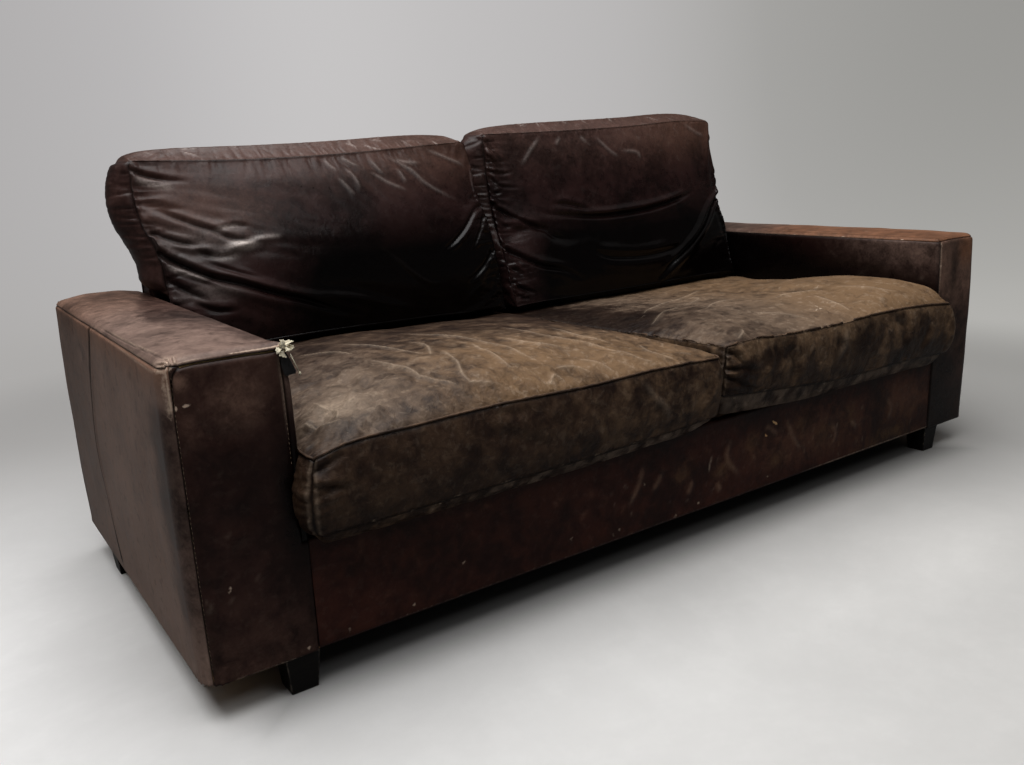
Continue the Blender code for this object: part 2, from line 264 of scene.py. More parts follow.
def add_mesh(name, points, faces, material, masks=None):
    """Makes a mesh object of the points that the faces use, with the masks as point attributes."""
    points = np.asarray(points, float)
    faces = [list(map(int, f)) for f in faces]
    used = np.unique([n for f in faces for n in f])
    place = np.zeros(len(points), int)
    place[used] = np.arange(len(used))
    mesh = bpy.data.meshes.new(name)
    mesh.from_pydata(points[used].tolist(), [], [place[f].tolist() for f in faces])
    masks = {mask: np.asarray(values)[used] for mask, values in (masks or {}).items()}
    for mask, values in masks.items():
        attribute = mesh.attributes.new(mask, "FLOAT", "POINT")
        attribute.data.foreach_set("value", np.asarray(values, np.float32))
    mesh.update()
    mesh.shade_smooth()
    mesh.materials.append(material)
    obj = bpy.data.objects.new(name, mesh)
    bpy.context.scene.collection.objects.link(obj)
    return obj


def piece(obj, slot, *nodes):
    """obj rides with the sofa and stands for these CAD nodes. The slot is not used."""
    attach(obj, "root")
    if nodes:
        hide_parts(*nodes)
    return obj


def over_rings(rings, capped=True):
    """Points and faces of the skin over a row of rings, closed at both ends where it is capped."""
    count = len(rings[0])
    last = (len(rings) - 1) * count
    faces = [(base + n, base + (n + 1) % count, base + count + (n + 1) % count, base + count + n)
             for base in range(0, last, count) for n in range(count)]
    if capped:
        faces += [tuple(range(count))[::-1], tuple(range(last, last + count))]
    return [point for ring in rings for point in ring], faces


def tube(path, radius, sides=6):
    """A closed tube along a path; radius may vary along it."""
    path = np.asarray(path, float)
    radius = np.broadcast_to(radius, len(path))
    along = unit(np.gradient(path, axis=0))
    up = np.array([0.0, 0.0, 1.0]) if abs(along[0, 2]) < 0.9 else np.array([1.0, 0.0, 0.0])
    turns = 2 * math.pi * np.arange(sides) / sides
    rings = []
    for p, d, r in zip(path, along, radius):
        side = unit(np.cross(d, up))
        up = np.cross(side, d)
        rings.append([p + r * (math.cos(turn) * side + math.sin(turn) * up) for turn in turns])
    return over_rings(rings)


def joined(parts):
    """Several (points, faces) as one."""
    points, faces = [], []
    for more_points, more_faces in parts:
        base = len(points)
        points.extend(more_points)
        faces.extend(tuple(base + n for n in f) for f in more_faces)
    return points, faces


def evenly(path, step):
    """Points a fixed step apart along a path."""
    path = np.asarray(path, float)
    gone = np.concatenate([[0], np.cumsum(np.linalg.norm(np.diff(path, axis=0), axis=1))])
    places = np.arange(0, gone[-1], step)
    return np.stack([np.interp(places, gone, path[:, a]) for a in range(3)], axis=1)


def stitches(path, away, length=0.0042, gap=0.0024, radius=0.0006, lift=0.0004):
    """Short thread capsules along a seam path, standing just proud in the direction away."""
    step = length + gap
    middles = evenly(path, step)
    away = unit(np.broadcast_to(np.asarray(away, float), middles.shape))
    along = unit(np.gradient(middles, axis=0)) if len(middles) > 1 else np.array([[1.0, 0, 0]])
    parts = []
    for middle, d, out in zip(middles, along, away):
        start = middle - d * length / 2
        end = middle + d * length / 2
        top = middle + out * lift * 2
        parts.append(tube([start, (start + top) / 2 + out * lift, (end + top) / 2 + out * lift, end],
                          [radius * 0.4, radius, radius, radius * 0.4], 5))
    return joined(parts)


# ---------------------------------------------------------------- folds drawn on a face

MM = 0.001
# steps between two points of a path
PATH_STEPS = 8
# a fold deeper than this, in millimetres, gets painted shade along its bottom
DEEP_FOLD = 4.5


def deepen(masks, name, values):
    masks[name] = np.maximum(masks[name], values)


def smooth_path(path):
    path = np.asarray(path, float)
    padded = np.concatenate([2 * path[:1] - path[1:2], path, 2 * path[-1:] - path[-2:-1]])
    made = []
    for a, b, c, d in zip(padded, padded[1:], padded[2:], padded[3:]):
        for t in np.linspace(0, 1, PATH_STEPS, endpoint=False):
            made.append(0.5 * (2 * b + (c - a) * t + (2 * a - 5 * b + 4 * c - d) * t * t
                               + (3 * b - a - 3 * c + d) * t ** 3))
    made.append(path[-1])
    return np.array(made)


def beside(q, path):
    """Signed distance of face points q from a smooth path, and how far along it they are, 0 to 1."""
    line = smooth_path(path)
    best = np.full(len(q), 1e9)
    signed = np.zeros(len(q))
    place = np.zeros(len(q))
    for k, (a, b) in enumerate(zip(line, line[1:])):
        d = b - a
        size = max(float(d @ d), 1e-12)
        t = np.clip(((q - a) @ d) / size, 0, 1)
        off = q - a - t[:, None] * d
        far = np.linalg.norm(off, axis=1)
        near = far < best
        side = np.where(d[0] * off[:, 1] - d[1] * off[:, 0] >= 0, 1.0, -1.0)
        best = np.where(near, far, best)
        signed = np.where(near, far * side, signed)
        place = np.where(near, (k + t) / (len(line) - 1), place)
    return signed, place


def places(path):
    """Points of a path as shares, from places in percent: a text such as "24,34 27,19", or a list of them."""
    return np.asarray(points_in(path) if isinstance(path, str) else path, float) / 100


class Face:
    """One face of a lattice laid flat, in metres.

    What is drawn on it has its sizes in millimetres and its places in percent of the face's width and height.
    """

    def __init__(self, lattice, axis, end, width, height):
        self.numbers = lattice.sheet(axis, end).ravel()
        across, up = [a for a in range(3) if a != axis]
        self.size = np.array([width, height])
        self.flat = lattice.share[self.numbers][:, [across, up]] * self.size
        self.rise = np.zeros(len(self.numbers))
        self.marks = {}

    def along(self, path, reach, taper):
        """Points near a path: their numbers, signed distances from it and a fade to 0 at its ends."""
        path = places(path) * self.size
        line = smooth_path(path)
        low, high = line.min(axis=0) - reach, line.max(axis=0) + reach
        chosen = np.nonzero(((self.flat > low) & (self.flat < high)).all(axis=1))[0]
        signed, place = beside(self.flat[chosen], path)
        start, end = taper
        fade = ramp(place, -0.001, start) * (1 - ramp(place, 1 - end, 1.001))
        return chosen, signed, fade

    def near(self, place, reach):
        """A soft blot, 1 at a place and fading over its reach each way."""
        off = (100 * self.flat / self.size - place) / reach
        return np.exp(-(off ** 2).sum(axis=1))

    def fold(self, depth, width, path, left=0.6, right=0.3, taper=(0.3, 0.3)):
        """A valley with a ridge on its left side, as the path runs, and another on its right."""
        w = width * MM
        chosen, signed, fade = self.along(path, 7 * w, taper)
        shape = left * bump_at(signed, 2.3 * w, 1.7 * w) - bump_at(signed, 0, w)
        shape = shape + right * bump_at(signed, -2.5 * w, 1.9 * w)
        self.rise[chosen] += depth * MM * fade * shape
        # painted shade in the bottom of a deep fold
        if depth > DEEP_FOLD:
            self.mark("soot", min(0.75, 0.08 * depth), 0.45 * width, path, taper=taper)

    def ridge(self, height, width, path, taper=(0.4, 0.4)):
        self.fold(-height, width, path, left=0.25, right=0.25, taper=taper)

    def mark(self, name, amount, width, path, taper=(0.3, 0.3)):
        """A soft line in one of the colour masks, which carry wear and also painted shade, sheen and
        highlights.
        """
        chosen, signed, fade = self.along(path, 4 * width * MM, taper)
        values = self.marks.setdefault(name, np.zeros(len(self.numbers)))
        values[chosen] = np.maximum(values[chosen], amount * fade * bump_at(signed, 0, width * MM))

    def seam_line(self, depth, width, path, dark=0.6, taper=(0.02, 0.02)):
        """A narrow stitched groove."""
        self.fold(depth, width, path, left=0.3, right=0.3, taper=taper)
        self.mark("soot", dark, width * 0.8, path, taper=taper)

    def patch(self, name, amount, place, reach):
        """A soft blot in one of the colour masks, which carry wear and also painted shade, sheen and
        highlights, or in the surface itself; reach is its half-size each way.
        """
        blot = amount * self.near(place, reach)
        if name == "rise":
            self.rise += MM * blot
        else:
            self.marks[name] = np.maximum(self.marks.get(name, 0 * blot), blot)

    def wrinkles(self, depth, size, heading, seed, place, reach):
        """Small folds about a heading in degrees, dying away from a place."""
        angle = math.radians(heading)
        along = self.flat @ (math.cos(angle), math.sin(angle))
        across = self.flat @ (-math.sin(angle), math.cos(angle))
        value = noise(np.stack([along / 5, across, 0 * along], axis=1), size * MM, seed)
        value = np.where(value < 0, 1.3, 0.8) * value
        self.rise += depth * MM * value * self.near(place, reach)

    def gathers(self, side, depth, size, reach, seed, high=100):
        """Small ridges and valleys square to the left, right, bottom or top side."""
        u, v = self.flat.T
        away = {"left": u, "right": self.size[0] - u, "bottom": v, "top": self.size[1] - v}[side]
        along, length = (v, self.size[1]) if side in ("left", "right") else (u, self.size[0])
        cell = size * MM
        value = noise(np.stack([along / cell, away / cell / 6, 0 * along], axis=1), 1.0, seed)
        value = 0.7 * value - 0.8 * bump_at(value, 0, 0.13)
        place = 100 * along / length
        span = ramp(place, -3, 3) * (1 - ramp(place, high - 3, high + 3))
        self.rise += depth * MM * value * span * np.exp(-away / (reach * MM)) * ramp(away, 0.0, 0.005)

    def scratches(self, name, amount, count, length, heading, spread, seed, low=(0, 0), high=(100, 100),
                  width=2.2, depth=0, curl=0.25):
        """Thin wandering lines about a heading in degrees, in a mask and, with a depth, in the surface."""
        rng = np.random.default_rng(seed)
        low, high = places([low, high])
        for _ in range(count):
            path = [(low + (high - low) * rng.random(2)) * self.size]
            angle = math.radians(heading + spread * rng.normal())
            bend = curl * rng.normal()
            step = length * MM * rng.uniform(0.4, 1.4) / 5
            for _ in range(5):
                angle += bend + 0.6 * curl * rng.normal()
                path.append(path[-1] + step * np.array([math.cos(angle), math.sin(angle)]))
            path = 100 * np.array(path) / self.size
            strength = rng.uniform(0.35, 1.0)
            self.mark(name, amount * strength, width, path, taper=(0.4, 0.4))
            if depth:
                self.ridge(depth * strength, width * 1.5, path)

    def apply(self, lattice, masks):
        """Moves the lattice's points by the folds and adds the marks to its masks."""
        edge = np.minimum(self.flat, self.size - self.flat).min(axis=1)
        normals = lattice.normals()[self.numbers]
        lattice.points[self.numbers] += normals * (self.rise * ramp(edge, -0.001, 0.006))[:, None]
        for name, values in self.marks.items():
            masks[name][self.numbers] = np.maximum(masks[name][self.numbers], values)


class Flat(Face):
    """The points of a panel laid flat, in metres."""

    def __init__(self, flat, width, height):
        self.numbers = np.arange(len(flat))
        self.size = np.array([width, height])
        self.flat = flat
        self.rise = np.zeros(len(flat))
        self.marks = {}

    def press(self, points, out, masks):
        """Moves a panel's points by the folds and adds the marks to its masks."""
        points += out * self.rise[:, None]
        self.add_marks(masks)

    def add_marks(self, masks):
        for name, values in self.marks.items():
            deepen(masks, name, values)


# ---------------------------------------------------------------- materials

def colour(red, green, blue):
    """A colour written as it looks, 0 to 255, as the shader's linear values."""
    shares = [c / 255 for c in (red, green, blue)]
    return tuple(c / 12.92 if c < 0.04045 else ((c + 0.055) / 1.055) ** 2.4 for c in shares) + (1.0,)


class Graph:
    """Builds a material's nodes; sizes are in metres in the row frame."""

    def __init__(self, name):
        self.material = bpy.data.materials.new(name)
        self.material.use_nodes = True
        self.tree = self.material.node_tree
        self.shader = self.tree.nodes["Principled BSDF"]
        self.place = self.tree.nodes.new("ShaderNodeTexCoord").outputs["Object"]

    def node(self, kind, settings=None, **inputs):
        made = self.tree.nodes.new(kind)
        for key, value in (settings or {}).items():
            setattr(made, key, value)
        for key, value in inputs.items():
            self.feed(made.inputs[int(key[1:]) if key[0] == "_" else key.replace("_", " ")], value)
        return made

    def feed(self, socket, value):
        if isinstance(value, bpy.types.NodeSocket):
            self.tree.links.new(value, socket)
        else:
            socket.default_value = value

    def set(self, **inputs):
        for key, value in inputs.items():
            self.feed(self.shader.inputs[key.replace("_", " ")], value)

    def math(self, operation, a, b=0.0, clamp=False):
        settings = {"operation": operation, "use_clamp": clamp}
        return self.node("ShaderNodeMath", settings, _0=a, _1=b).outputs[0]

    def times(self, a, b):
        return self.math("MULTIPLY", a, b)

    def plus(self, a, b, share=None, clamp=False):
        """a and b together, or a and that share of b."""
        return self.math("ADD", a, b if share is None else self.times(b, share), clamp)

    def less(self, a, b, clamp=False):
        return self.math("SUBTRACT", a, b, clamp)

    def centred(self, a):
        return self.less(a, 0.5)

    def mix(self, share, a, b):
        """A blend of two colours, each a socket or (red, green, blue) up to 255."""
        made = self.node("ShaderNodeMix", {"data_type": "RGBA", "clamp_factor": True})
        for socket, value in zip((0, 6, 7), (share, a, b)):
            self.feed(made.inputs[socket], colour(*value) if isinstance(value, tuple) else value)
        return made.outputs[2]

    def band(self, value, low, high, bottom=0.0, top=1.0):
        made = self.node("ShaderNodeMapRange", {"interpolation_type": "SMOOTHSTEP"})
        for socket, number in zip(range(5), (value, low, high, bottom, top)):
            self.feed(made.inputs[socket], number)
        return made.outputs[0]

    def turned(self, scale, turn=(0, 0, 0)):
        return self.node("ShaderNodeMapping", Vector=self.place, Rotation=turn, Scale=scale).outputs[0]

    def noise(self, size, detail=3.0, roughness=0.55, bend=0.0, place=None):
        made = self.node("ShaderNodeTexNoise", Vector=place or self.place, Scale=1 / size, Detail=detail,
                         Roughness=roughness, Distortion=bend)
        return made.outputs[0]

    def cells(self, size, feature="F1"):
        made = self.node("ShaderNodeTexVoronoi", {"feature": feature}, Vector=self.place, Scale=1 / size)
        return made.outputs["Distance"]

    def mask(self, name):
        return self.node("ShaderNodeAttribute", {"attribute_name": name}).outputs["Fac"]

    def bump(self, height, strength, distance, below=None):
        made = self.node("ShaderNodeBump", Strength=strength, Distance=distance, Height=height)
        if below:
            self.feed(made.inputs["Normal"], below)
        return made.outputs[0]


# near black, for soot and dark seams and also for painted shade
SOOT_AND_SHADE = (3, 2, 2)


def leather(name, dark, middle, worn, warm, pale, roughness, specular, patch=0.16, grain=1.0, dull=0.12,
            mottle=0.9, spots=0.25, crumple=0.3, flaked=0.0):
    """Old leather.

    Masks on the mesh: the wear mask lightens it towards worn, or towards warm where warmth is 1, for wear and
    also as painted sheen;
    the crease, line and scuff masks bare it in soft lines, thin lines and patches, and the crease mask also
    paints highlights;
    the soot mask darkens it, for soot and dark seams and also as painted shade. Crumple is relief a
    centimetre or two across; flaked is how much the finest pale flecks show.
    """
    g = Graph(name)
    large = g.noise(patch, 4, 0.6, 0.3)
    small = g.noise(0.030, 4, 0.62, 0.5)
    fine = g.noise(0.006, 3, 0.6)
    tone = g.plus(g.times(large, 0.65), small, 0.35)
    body = g.mix(g.band(tone, 0.38, 0.62), dark, middle)
    broken = g.plus(g.times(g.centred(small), mottle), g.centred(fine), 0.3)
    broken = g.plus(broken, g.centred(large), mottle)
    wear = g.plus(g.mask("wear"), broken, g.band(g.mask("wear"), 0.0, 0.3))
    worn_share = g.band(wear, 0.0, 1.0)
    body = g.mix(worn_share, body, g.mix(g.mask("warmth"), worn, warm))
    stains = g.band(g.noise(0.024, 2, 0.5, 0.6), 0.58, 0.70, 0.0, spots)
    body = g.mix(stains, body, dark)
    lines = g.times(g.band(g.mask("line"), 0.50, 0.95), g.band(fine, 0.25, 0.55, 0.4, 1.0))
    drawn = g.times(g.mask("crease"), g.band(fine, 0.3, 0.6, 0.55, 1.0))
    drawn = g.plus(drawn, lines, 0.20, True)
    flakes = g.band(g.noise(0.017, 5, 0.62, 0.2), 0.53, 0.64, 0.0, flaked)
    flakes = g.times(flakes, g.band(large, 0.40, 0.56, 0.3, 1.0))
    drawn = g.plus(drawn, flakes, g.band(g.mask("wear"), 0.2, 0.7, 0.25, 1.0), True)
    crests = g.noise(0.020, 4, 0.62, 0.8)
    crested = g.times(g.band(crests, 0.56, 0.74), crumple * 0.26)
    drawn = g.plus(drawn, crested, g.band(g.mask("wear"), 0.1, 0.5, 0.3, 1.0), True)
    body = g.mix(drawn, body, pale)
    bare = g.band(g.plus(g.mask("scuff"), g.centred(fine), 0.9), 0.3, 0.75)
    bare = g.times(bare, g.band(g.mask("scuff"), 0.02, 0.2))
    body = g.mix(bare, body, pale)
    g.set(Base_Color=g.mix(g.mask("soot"), body, SOOT_AND_SHADE))
    gloss = g.plus(g.times(worn_share, dull), roughness)
    gloss = g.plus(gloss, g.centred(small), 0.22)
    gloss = g.plus(gloss, bare, 0.15)
    gloss = g.less(gloss, g.times(g.mask("soot"), 0.12), True)
    g.set(Roughness=gloss, Specular_IOR_Level=specular)
    skin = g.bump(g.cells(0.0016, "SMOOTH_F1"), 0.18 * grain, 0.0004)
    skin = g.bump(fine, 0.25 * grain, 0.0008, skin)
    skin = g.bump(lines, 0.5, 0.0010, skin)
    skin = g.bump(crests, crumple, 0.0045, skin)
    skin = g.bump(g.noise(0.050, 3, 0.5), 0.5 * grain, 0.003, skin)
    g.set(Normal=skin)
    return g.material


def wood(name, dark, light, roughness, grain_turn=(0, 0, 0), rubbed=None, specular=0.3):
    g = Graph(name)
    stretched = g.turned((1, 12, 12), grain_turn)
    rings = g.noise(0.05, 5, 0.6, 1.2, stretched)
    fibres = g.noise(0.006, 3, 0.7, 0.2, stretched)
    tone = g.plus(g.times(rings, 0.7), fibres, 0.3)
    body = g.mix(g.band(tone, 0.35, 0.65), dark, light)
    if rubbed:
        edge = g.node("ShaderNodeBevel", {"samples": 4}, Radius=0.003).outputs[0]
        true_normal = g.node("ShaderNodeNewGeometry").outputs["Normal"]
        same = g.node("ShaderNodeVectorMath", {"operation": "DOT_PRODUCT"}, _0=edge, _1=true_normal)
        off = g.less(1.0, same.outputs["Value"])
        patchy = g.times(g.band(off, 0.01, 0.12), g.band(g.noise(0.012, 3), 0.42, 0.6))
        body = g.mix(patchy, body, rubbed)
    g.set(Base_Color=body, Roughness=g.band(fibres, 0.2, 0.8, roughness - 0.08, roughness + 0.1))
    g.set(Specular_IOR_Level=specular)
    g.set(Normal=g.bump(fibres, 0.35, 0.0006))
    return g.material


def foam(name, light, dark):
    g = Graph(name)
    pores = g.cells(0.0022, "SMOOTH_F1")
    stain = g.noise(0.07, 4, 0.6)
    g.set(Base_Color=g.mix(g.band(stain, 0.35, 0.7), light, dark), Roughness=0.95, Specular_IOR_Level=0.15)
    g.set(Normal=g.bump(pores, 0.6, 0.0012, g.bump(stain, 0.3, 0.004)))
    return g.material


def cloth(name, light, dark, thread):
    g = Graph(name)
    waves = [g.node("ShaderNodeTexWave", {"bands_direction": direction}, Vector=g.place, Scale=0.157 / thread,
                    Distortion=0.6).outputs["Fac"] for direction in "XYZ"]
    weave = g.times(g.plus(g.plus(waves[0], waves[1]), waves[2]), 0.333)
    dirt = g.noise(0.05, 4, 0.6)
    shade = g.plus(g.times(weave, 0.4), dirt, 0.6)
    g.set(Base_Color=g.mix(g.band(shade, 0.3, 0.7), dark, light), Roughness=0.9, Sheen_Weight=0.15)
    g.set(Normal=g.bump(weave, 0.4, 0.0005))
    return g.material


def steel(name):
    g = Graph(name)
    haze = g.noise(0.004, 3)
    g.set(Base_Color=g.mix(haze, (150, 150, 146), (198, 198, 192)), Metallic=1.0)
    g.set(Roughness=g.band(haze, 0.3, 0.7, 0.28, 0.48), Normal=g.bump(haze, 0.1, 0.0002))
    return g.material


def make_materials():
    return {
        "arm": leather("oxblood_arm", (24, 12, 11), (44, 24, 21), (144, 121, 110),
                       (148, 104, 78), (196, 172, 152), roughness=0.38, specular=0.12, patch=0.22,
                       grain=0.6, mottle=0.6, crumple=0.05, flaked=0.07),
        "rail": leather("oxblood_rail", (31, 13, 10), (56, 25, 18), (98, 68, 54),
                        (98, 76, 50), (160, 140, 122), roughness=0.46, specular=0.15, patch=0.2,
                        crumple=0.12, flaked=0.12),
        "seat": leather("seat_hide", (33, 21, 16), (52, 36, 27), (105, 90, 78),
                        (122, 95, 68), (186, 165, 143), roughness=0.48, specular=0.15, patch=0.08, mottle=1.1,
                        spots=0.3, crumple=0.60, flaked=0.20),
        # the back's pale is near white, so that its crease marks paint bright highlights as well as bared
        # creases
        "back": leather("back_hide", (22, 12, 12), (46, 28, 27), (104, 79, 71),
                        (104, 74, 60), (232, 218, 210), roughness=0.30, specular=0.19, patch=0.16, grain=0.6,
                        mottle=0.3, dull=0.12, spots=0.0, crumple=0.14, flaked=0.02),
        "welt": leather("seam_leather", (50, 37, 29), (96, 74, 57), (120, 96, 76),
                        (120, 96, 76), (160, 130, 104), roughness=0.6, specular=0.2, patch=0.05,
                        grain=0.3, crumple=0.1),
        "thread": cloth("waxed_thread", (150, 126, 102), (84, 66, 54), thread=0.0005),
        # a near-black scrap, as painted shade in the arm's torn hole
        "shade_scrap": cloth("torn_scrap", (14, 11, 11), (5, 4, 4), thread=0.0010),
        "lining": cloth("torn_lining", (232, 224, 200), (176, 164, 136), thread=0.0007),
        "timber": wood("beech_frame", (170, 128, 84), (206, 168, 120), roughness=0.7),
        "fibreboard": wood("hardboard", (110, 78, 52), (140, 104, 72), roughness=0.8),
        "black_wood": wood("black_leg", (8, 7, 7), (20, 17, 15), roughness=0.36,
                           grain_turn=(0, math.pi / 2, 0), rubbed=(140, 128, 116), specular=0.16),
        "foam": foam("old_foam", (206, 188, 140), (160, 132, 84)),
        "webbing": cloth("jute_webbing", (120, 98, 70), (74, 58, 40), thread=0.003),
        "lining_cloth": cloth("black_lining", (44, 43, 43), (22, 21, 22), thread=0.0016),
        "zinc_steel": steel("zinc_plate"),
    }


# ---------------------------------------------------------------- room, camera and light

CAMERA_PLACE = Vector((-1.3881, -1.7353, 0.857))
CAMERA_YAW, CAMERA_PITCH, CAMERA_ROLL = (math.radians(a) for a in (34.418, 14.076, -2.745))
CAMERA_LENS = 31.36
ROOM_RADIUS = 6.5
ROOM_HEIGHT = 5.0
ROOM_CURVE = 2.2
FLOOR_BOUNCE = (120, 119, 118)


def view_axes():
    forward = Vector((math.sin(CAMERA_YAW) * math.cos(CAMERA_PITCH),
                      math.cos(CAMERA_YAW) * math.cos(CAMERA_PITCH), -math.sin(CAMERA_PITCH)))
    level = Vector((math.cos(CAMERA_YAW), -math.sin(CAMERA_YAW), 0))
    upright = level.cross(forward)
    right = level * math.cos(CAMERA_ROLL) + upright * math.sin(CAMERA_ROLL)
    up = upright * math.cos(CAMERA_ROLL) - level * math.sin(CAMERA_ROLL)
    return right, up, forward


def make_camera():
    data = bpy.data.cameras.new("camera")
    set_all(data, lens=CAMERA_LENS, sensor_width=36.0, clip_end=60.0)
    camera = bpy.data.objects.new("camera", data)
    bpy.context.scene.collection.objects.link(camera)
    right, up, forward = view_axes()
    turn = Matrix((right, up, -forward)).transposed()
    camera.matrix_world = Matrix.Translation(CAMERA_PLACE) @ turn.to_4x4()
    bpy.context.scene.camera = camera


def colour_along(g, value, *stops):
    """A colour that runs smoothly through (place, red, green, blue) stops along a value."""
    low, high = stops[0][0], stops[-1][0]
    made = g.node("ShaderNodeValToRGB")
    g.feed(made.inputs[0], g.node("ShaderNodeMapRange", _0=value, _1=low, _2=high).outputs[0])
    band = made.color_ramp
    band.interpolation = "B_SPLINE"
    while len(band.elements) < len(stops):
        band.elements.new(0.5)
    for element, (place, *tone) in zip(band.elements, stops):
        element.position = (place - low) / (high - low)
        element.color = colour(*tone)
    return made.outputs[0]


def floor_material():
    """Pale cloudy concrete that greys behind the sofa and turns up into a grey wall, darker to the right."""
    g = Graph("studio_floor")
    parts = g.node("ShaderNodeSeparateXYZ", Vector=g.place).outputs
    ahead = g.plus(g.times(parts["X"], math.sin(CAMERA_YAW)), parts["Y"], math.cos(CAMERA_YAW))
    across = g.plus(g.times(parts["X"], math.cos(CAMERA_YAW)), parts["Y"], -math.sin(CAMERA_YAW))
    clouds = g.noise(0.7, 6, 0.6, 0.4)
    specks = g.noise(0.10, 4, 0.7)
    near = colour_along(g, across, (-2.0, 236, 235, 234), (-0.6, 222, 221, 220), (0.6, 206, 204, 201),
                        (2.0, 199, 197, 194))
    middle = colour_along(g, across, (-2.5, 172, 170, 168), (-1.0, 170, 168, 167), (1.0, 182, 180, 177),
                          (2.5, 176, 175, 171))
    wall = colour_along(g, across, (-5.0, 172, 170, 170), (-3.2, 184, 182, 183), (-1.9, 202, 200, 200),
                        (-0.6, 192, 190, 190), (1.0, 186, 184, 184), (2.2, 164, 163, 160),
                        (5.0, 128, 127, 124))
    body = g.mix(g.band(ahead, -0.95, 0.75), near, middle)
    body = g.mix(g.band(ahead, 1.6, 6.5), body, wall)
    cloudy = g.band(clouds, 0.3, 0.7, 0.93, 1.05)
    speckled = g.band(specks, 0.4, 0.75, 0.985, 1.025)
    tone = g.plus(g.times(g.less(g.times(cloudy, speckled), 1.0), g.band(ahead, 0.8, -0.6)), 1.0)
    # the deep shade under the sofa
    beyond_end = g.less(g.math("ABSOLUTE", parts["X"]), CAD_HIGH.x - 0.13)
    beyond_side = g.less(g.math("ABSOLUTE", parts["Y"]), 0.43)
    beyond = g.math("MAXIMUM", beyond_end, beyond_side)
    tone = g.times(tone, g.band(beyond, -0.06, 0.10, 0.30, 1.0))
    # and the light that falls between it and the camera, to the right
    spot = g.node("ShaderNodeVectorMath", {"operation": "DISTANCE"}, _0=g.place, _1=(0.46, -0.62, 0.0))
    tone = g.times(tone, g.band(spot.outputs["Value"], 0.05, 0.50, 1.10, 1.0))
    shaded = g.node("ShaderNodeVectorMath", {"operation": "SCALE"}, _0=body)
    g.feed(shaded.inputs["Scale"], tone)
    seen = g.node("ShaderNodeLightPath").outputs["Is Camera Ray"]
    lit = g.mix(seen, FLOOR_BOUNCE, shaded.outputs[0])
    g.set(Base_Color=lit, Roughness=0.8, Specular_IOR_Level=0.1)
    glow = g.node("ShaderNodeEmission", Color=shaded.outputs[0], Strength=1.0)
    out_from = g.node("ShaderNodeVectorMath", {"operation": "LENGTH"}, _0=g.place).outputs["Value"]
    blend = g.node("ShaderNodeMixShader")
    g.feed(blend.inputs[0], g.times(seen, g.band(out_from, 1.9, 3.0)))
    g.feed(blend.inputs[1], g.shader.outputs[0])
    g.feed(blend.inputs[2], glow.outputs[0])
    g.feed(g.tree.nodes["Material Output"].inputs["Surface"], blend.outputs[0])
    return g.material


def make_room():
    """A round pale studio: a floor that turns up into a wall, open above."""
    flat_radius = ROOM_RADIUS - ROOM_CURVE
    profile = [(0.0, 0.0), (ROOM_RADIUS * 0.5, 0.0), (flat_radius, 0.0)]
    for step in range(1, 13):
        turn = math.pi / 2 * step / 12
        profile.append((flat_radius + ROOM_CURVE * math.sin(turn), ROOM_CURVE * (1 - math.cos(turn))))
    profile.append((ROOM_RADIUS, ROOM_HEIGHT))
    circle = [(math.cos(turn), math.sin(turn)) for turn in 2 * math.pi * np.arange(96) / 96]
    rings = [[(radius * x, radius * y, z) for x, y in circle] for radius, z in profile]
    add_mesh("studio_floor", *over_rings(rings, capped=False), floor_material())


def area_light(name, place, aim, size, watts):
    data = bpy.data.lights.new(name, "AREA")
    set_all(data, shape="RECTANGLE", size=size[0], size_y=size[1], energy=watts)
    light = bpy.data.objects.new(name, data)
    bpy.context.scene.collection.objects.link(light)
    light.location = place
    light.rotation_mode = "QUATERNION"
    light.rotation_quaternion = (Vector(aim) - Vector(place)).to_track_quat("-Z", "Y")
    light.visible_camera = False


def make_light():
    area_light("overhead_softbox", place=(-0.9, -0.1, 3.8), aim=(0.0, 0.0, 0.3), size=(4.4, 3.6), watts=198)
    area_light("front_softbox", place=(-0.1, -2.5, 2.5), aim=(-0.5, 0.2, 0.6), size=(1.3, 0.8), watts=8)
    world = bpy.data.worlds.new("studio_world")
    world.use_nodes = True
    background = world.node_tree.nodes["Background"]
    background.inputs["Color"].default_value = (1.0, 0.99, 0.98, 1.0)
    background.inputs["Strength"].default_value = 0.18
    bpy.context.scene.world = world
    bpy.context.scene.view_settings.view_transform = "Standard"


# ---------------------------------------------------------------- cushions

SEAM_STEPS = (0.004, 0.006, 0.008)
SEAT_FRONT_SEAM_Y = CAD_LOW.y + 0.0075
SEAT_REAR_SEAM_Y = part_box("seat_cushion_left")[1].y - 0.008
# A curve's places are percents of the width or the depth. Its values are heights in millimetres, or for
# across and along thousandths of the crown. The lean and the bulge are at the left and the right, in metres.
SEATS = {
    "left": {
        "top_seam": "0,420 5,431 20,437 38,440 60,435 80,437 100,430",
        "low_seam": "0,282 5,282 30,283 70,286 100,295",
        "low_edge": "0,264 5,263 40,262 78,267 95,276 100,288",
        "across": "0,0 4,380 10,660 25,920 45,940 70,740 85,520 95,400 98,300 100,0",
        "along": "0,0 4,660 10,880 25,970 42,980 60,780 80,540 92,250 100,0",
        "crown": 0.060,
        "lean": (0.0, 0.020),
        "bulge": (0.022, 0.012),
    },
    "right": {
        "top_seam": "0,450 7,456 20,450 45,445 58,448 88,441 100,431",
        "low_seam": "0,336 25,316 45,302 85,298 100,290",
        "low_edge": "0,292 7,286 20,278 35,270 50,270 85,268 97,268 100,276",
        "across": "0,0 5,280 20,480 40,560 60,620 80,1050 93,1000 98,800 100,0",
        "along": "0,0 4,660 10,920 22,1060 35,940 50,580 65,300 80,220 92,150 100,0",
        "crown": 0.046,
        "lean": (0.030, 0.0),
        "bulge": (0.004, 0.028),
    },
}
SEAT_CORNER = 0.020
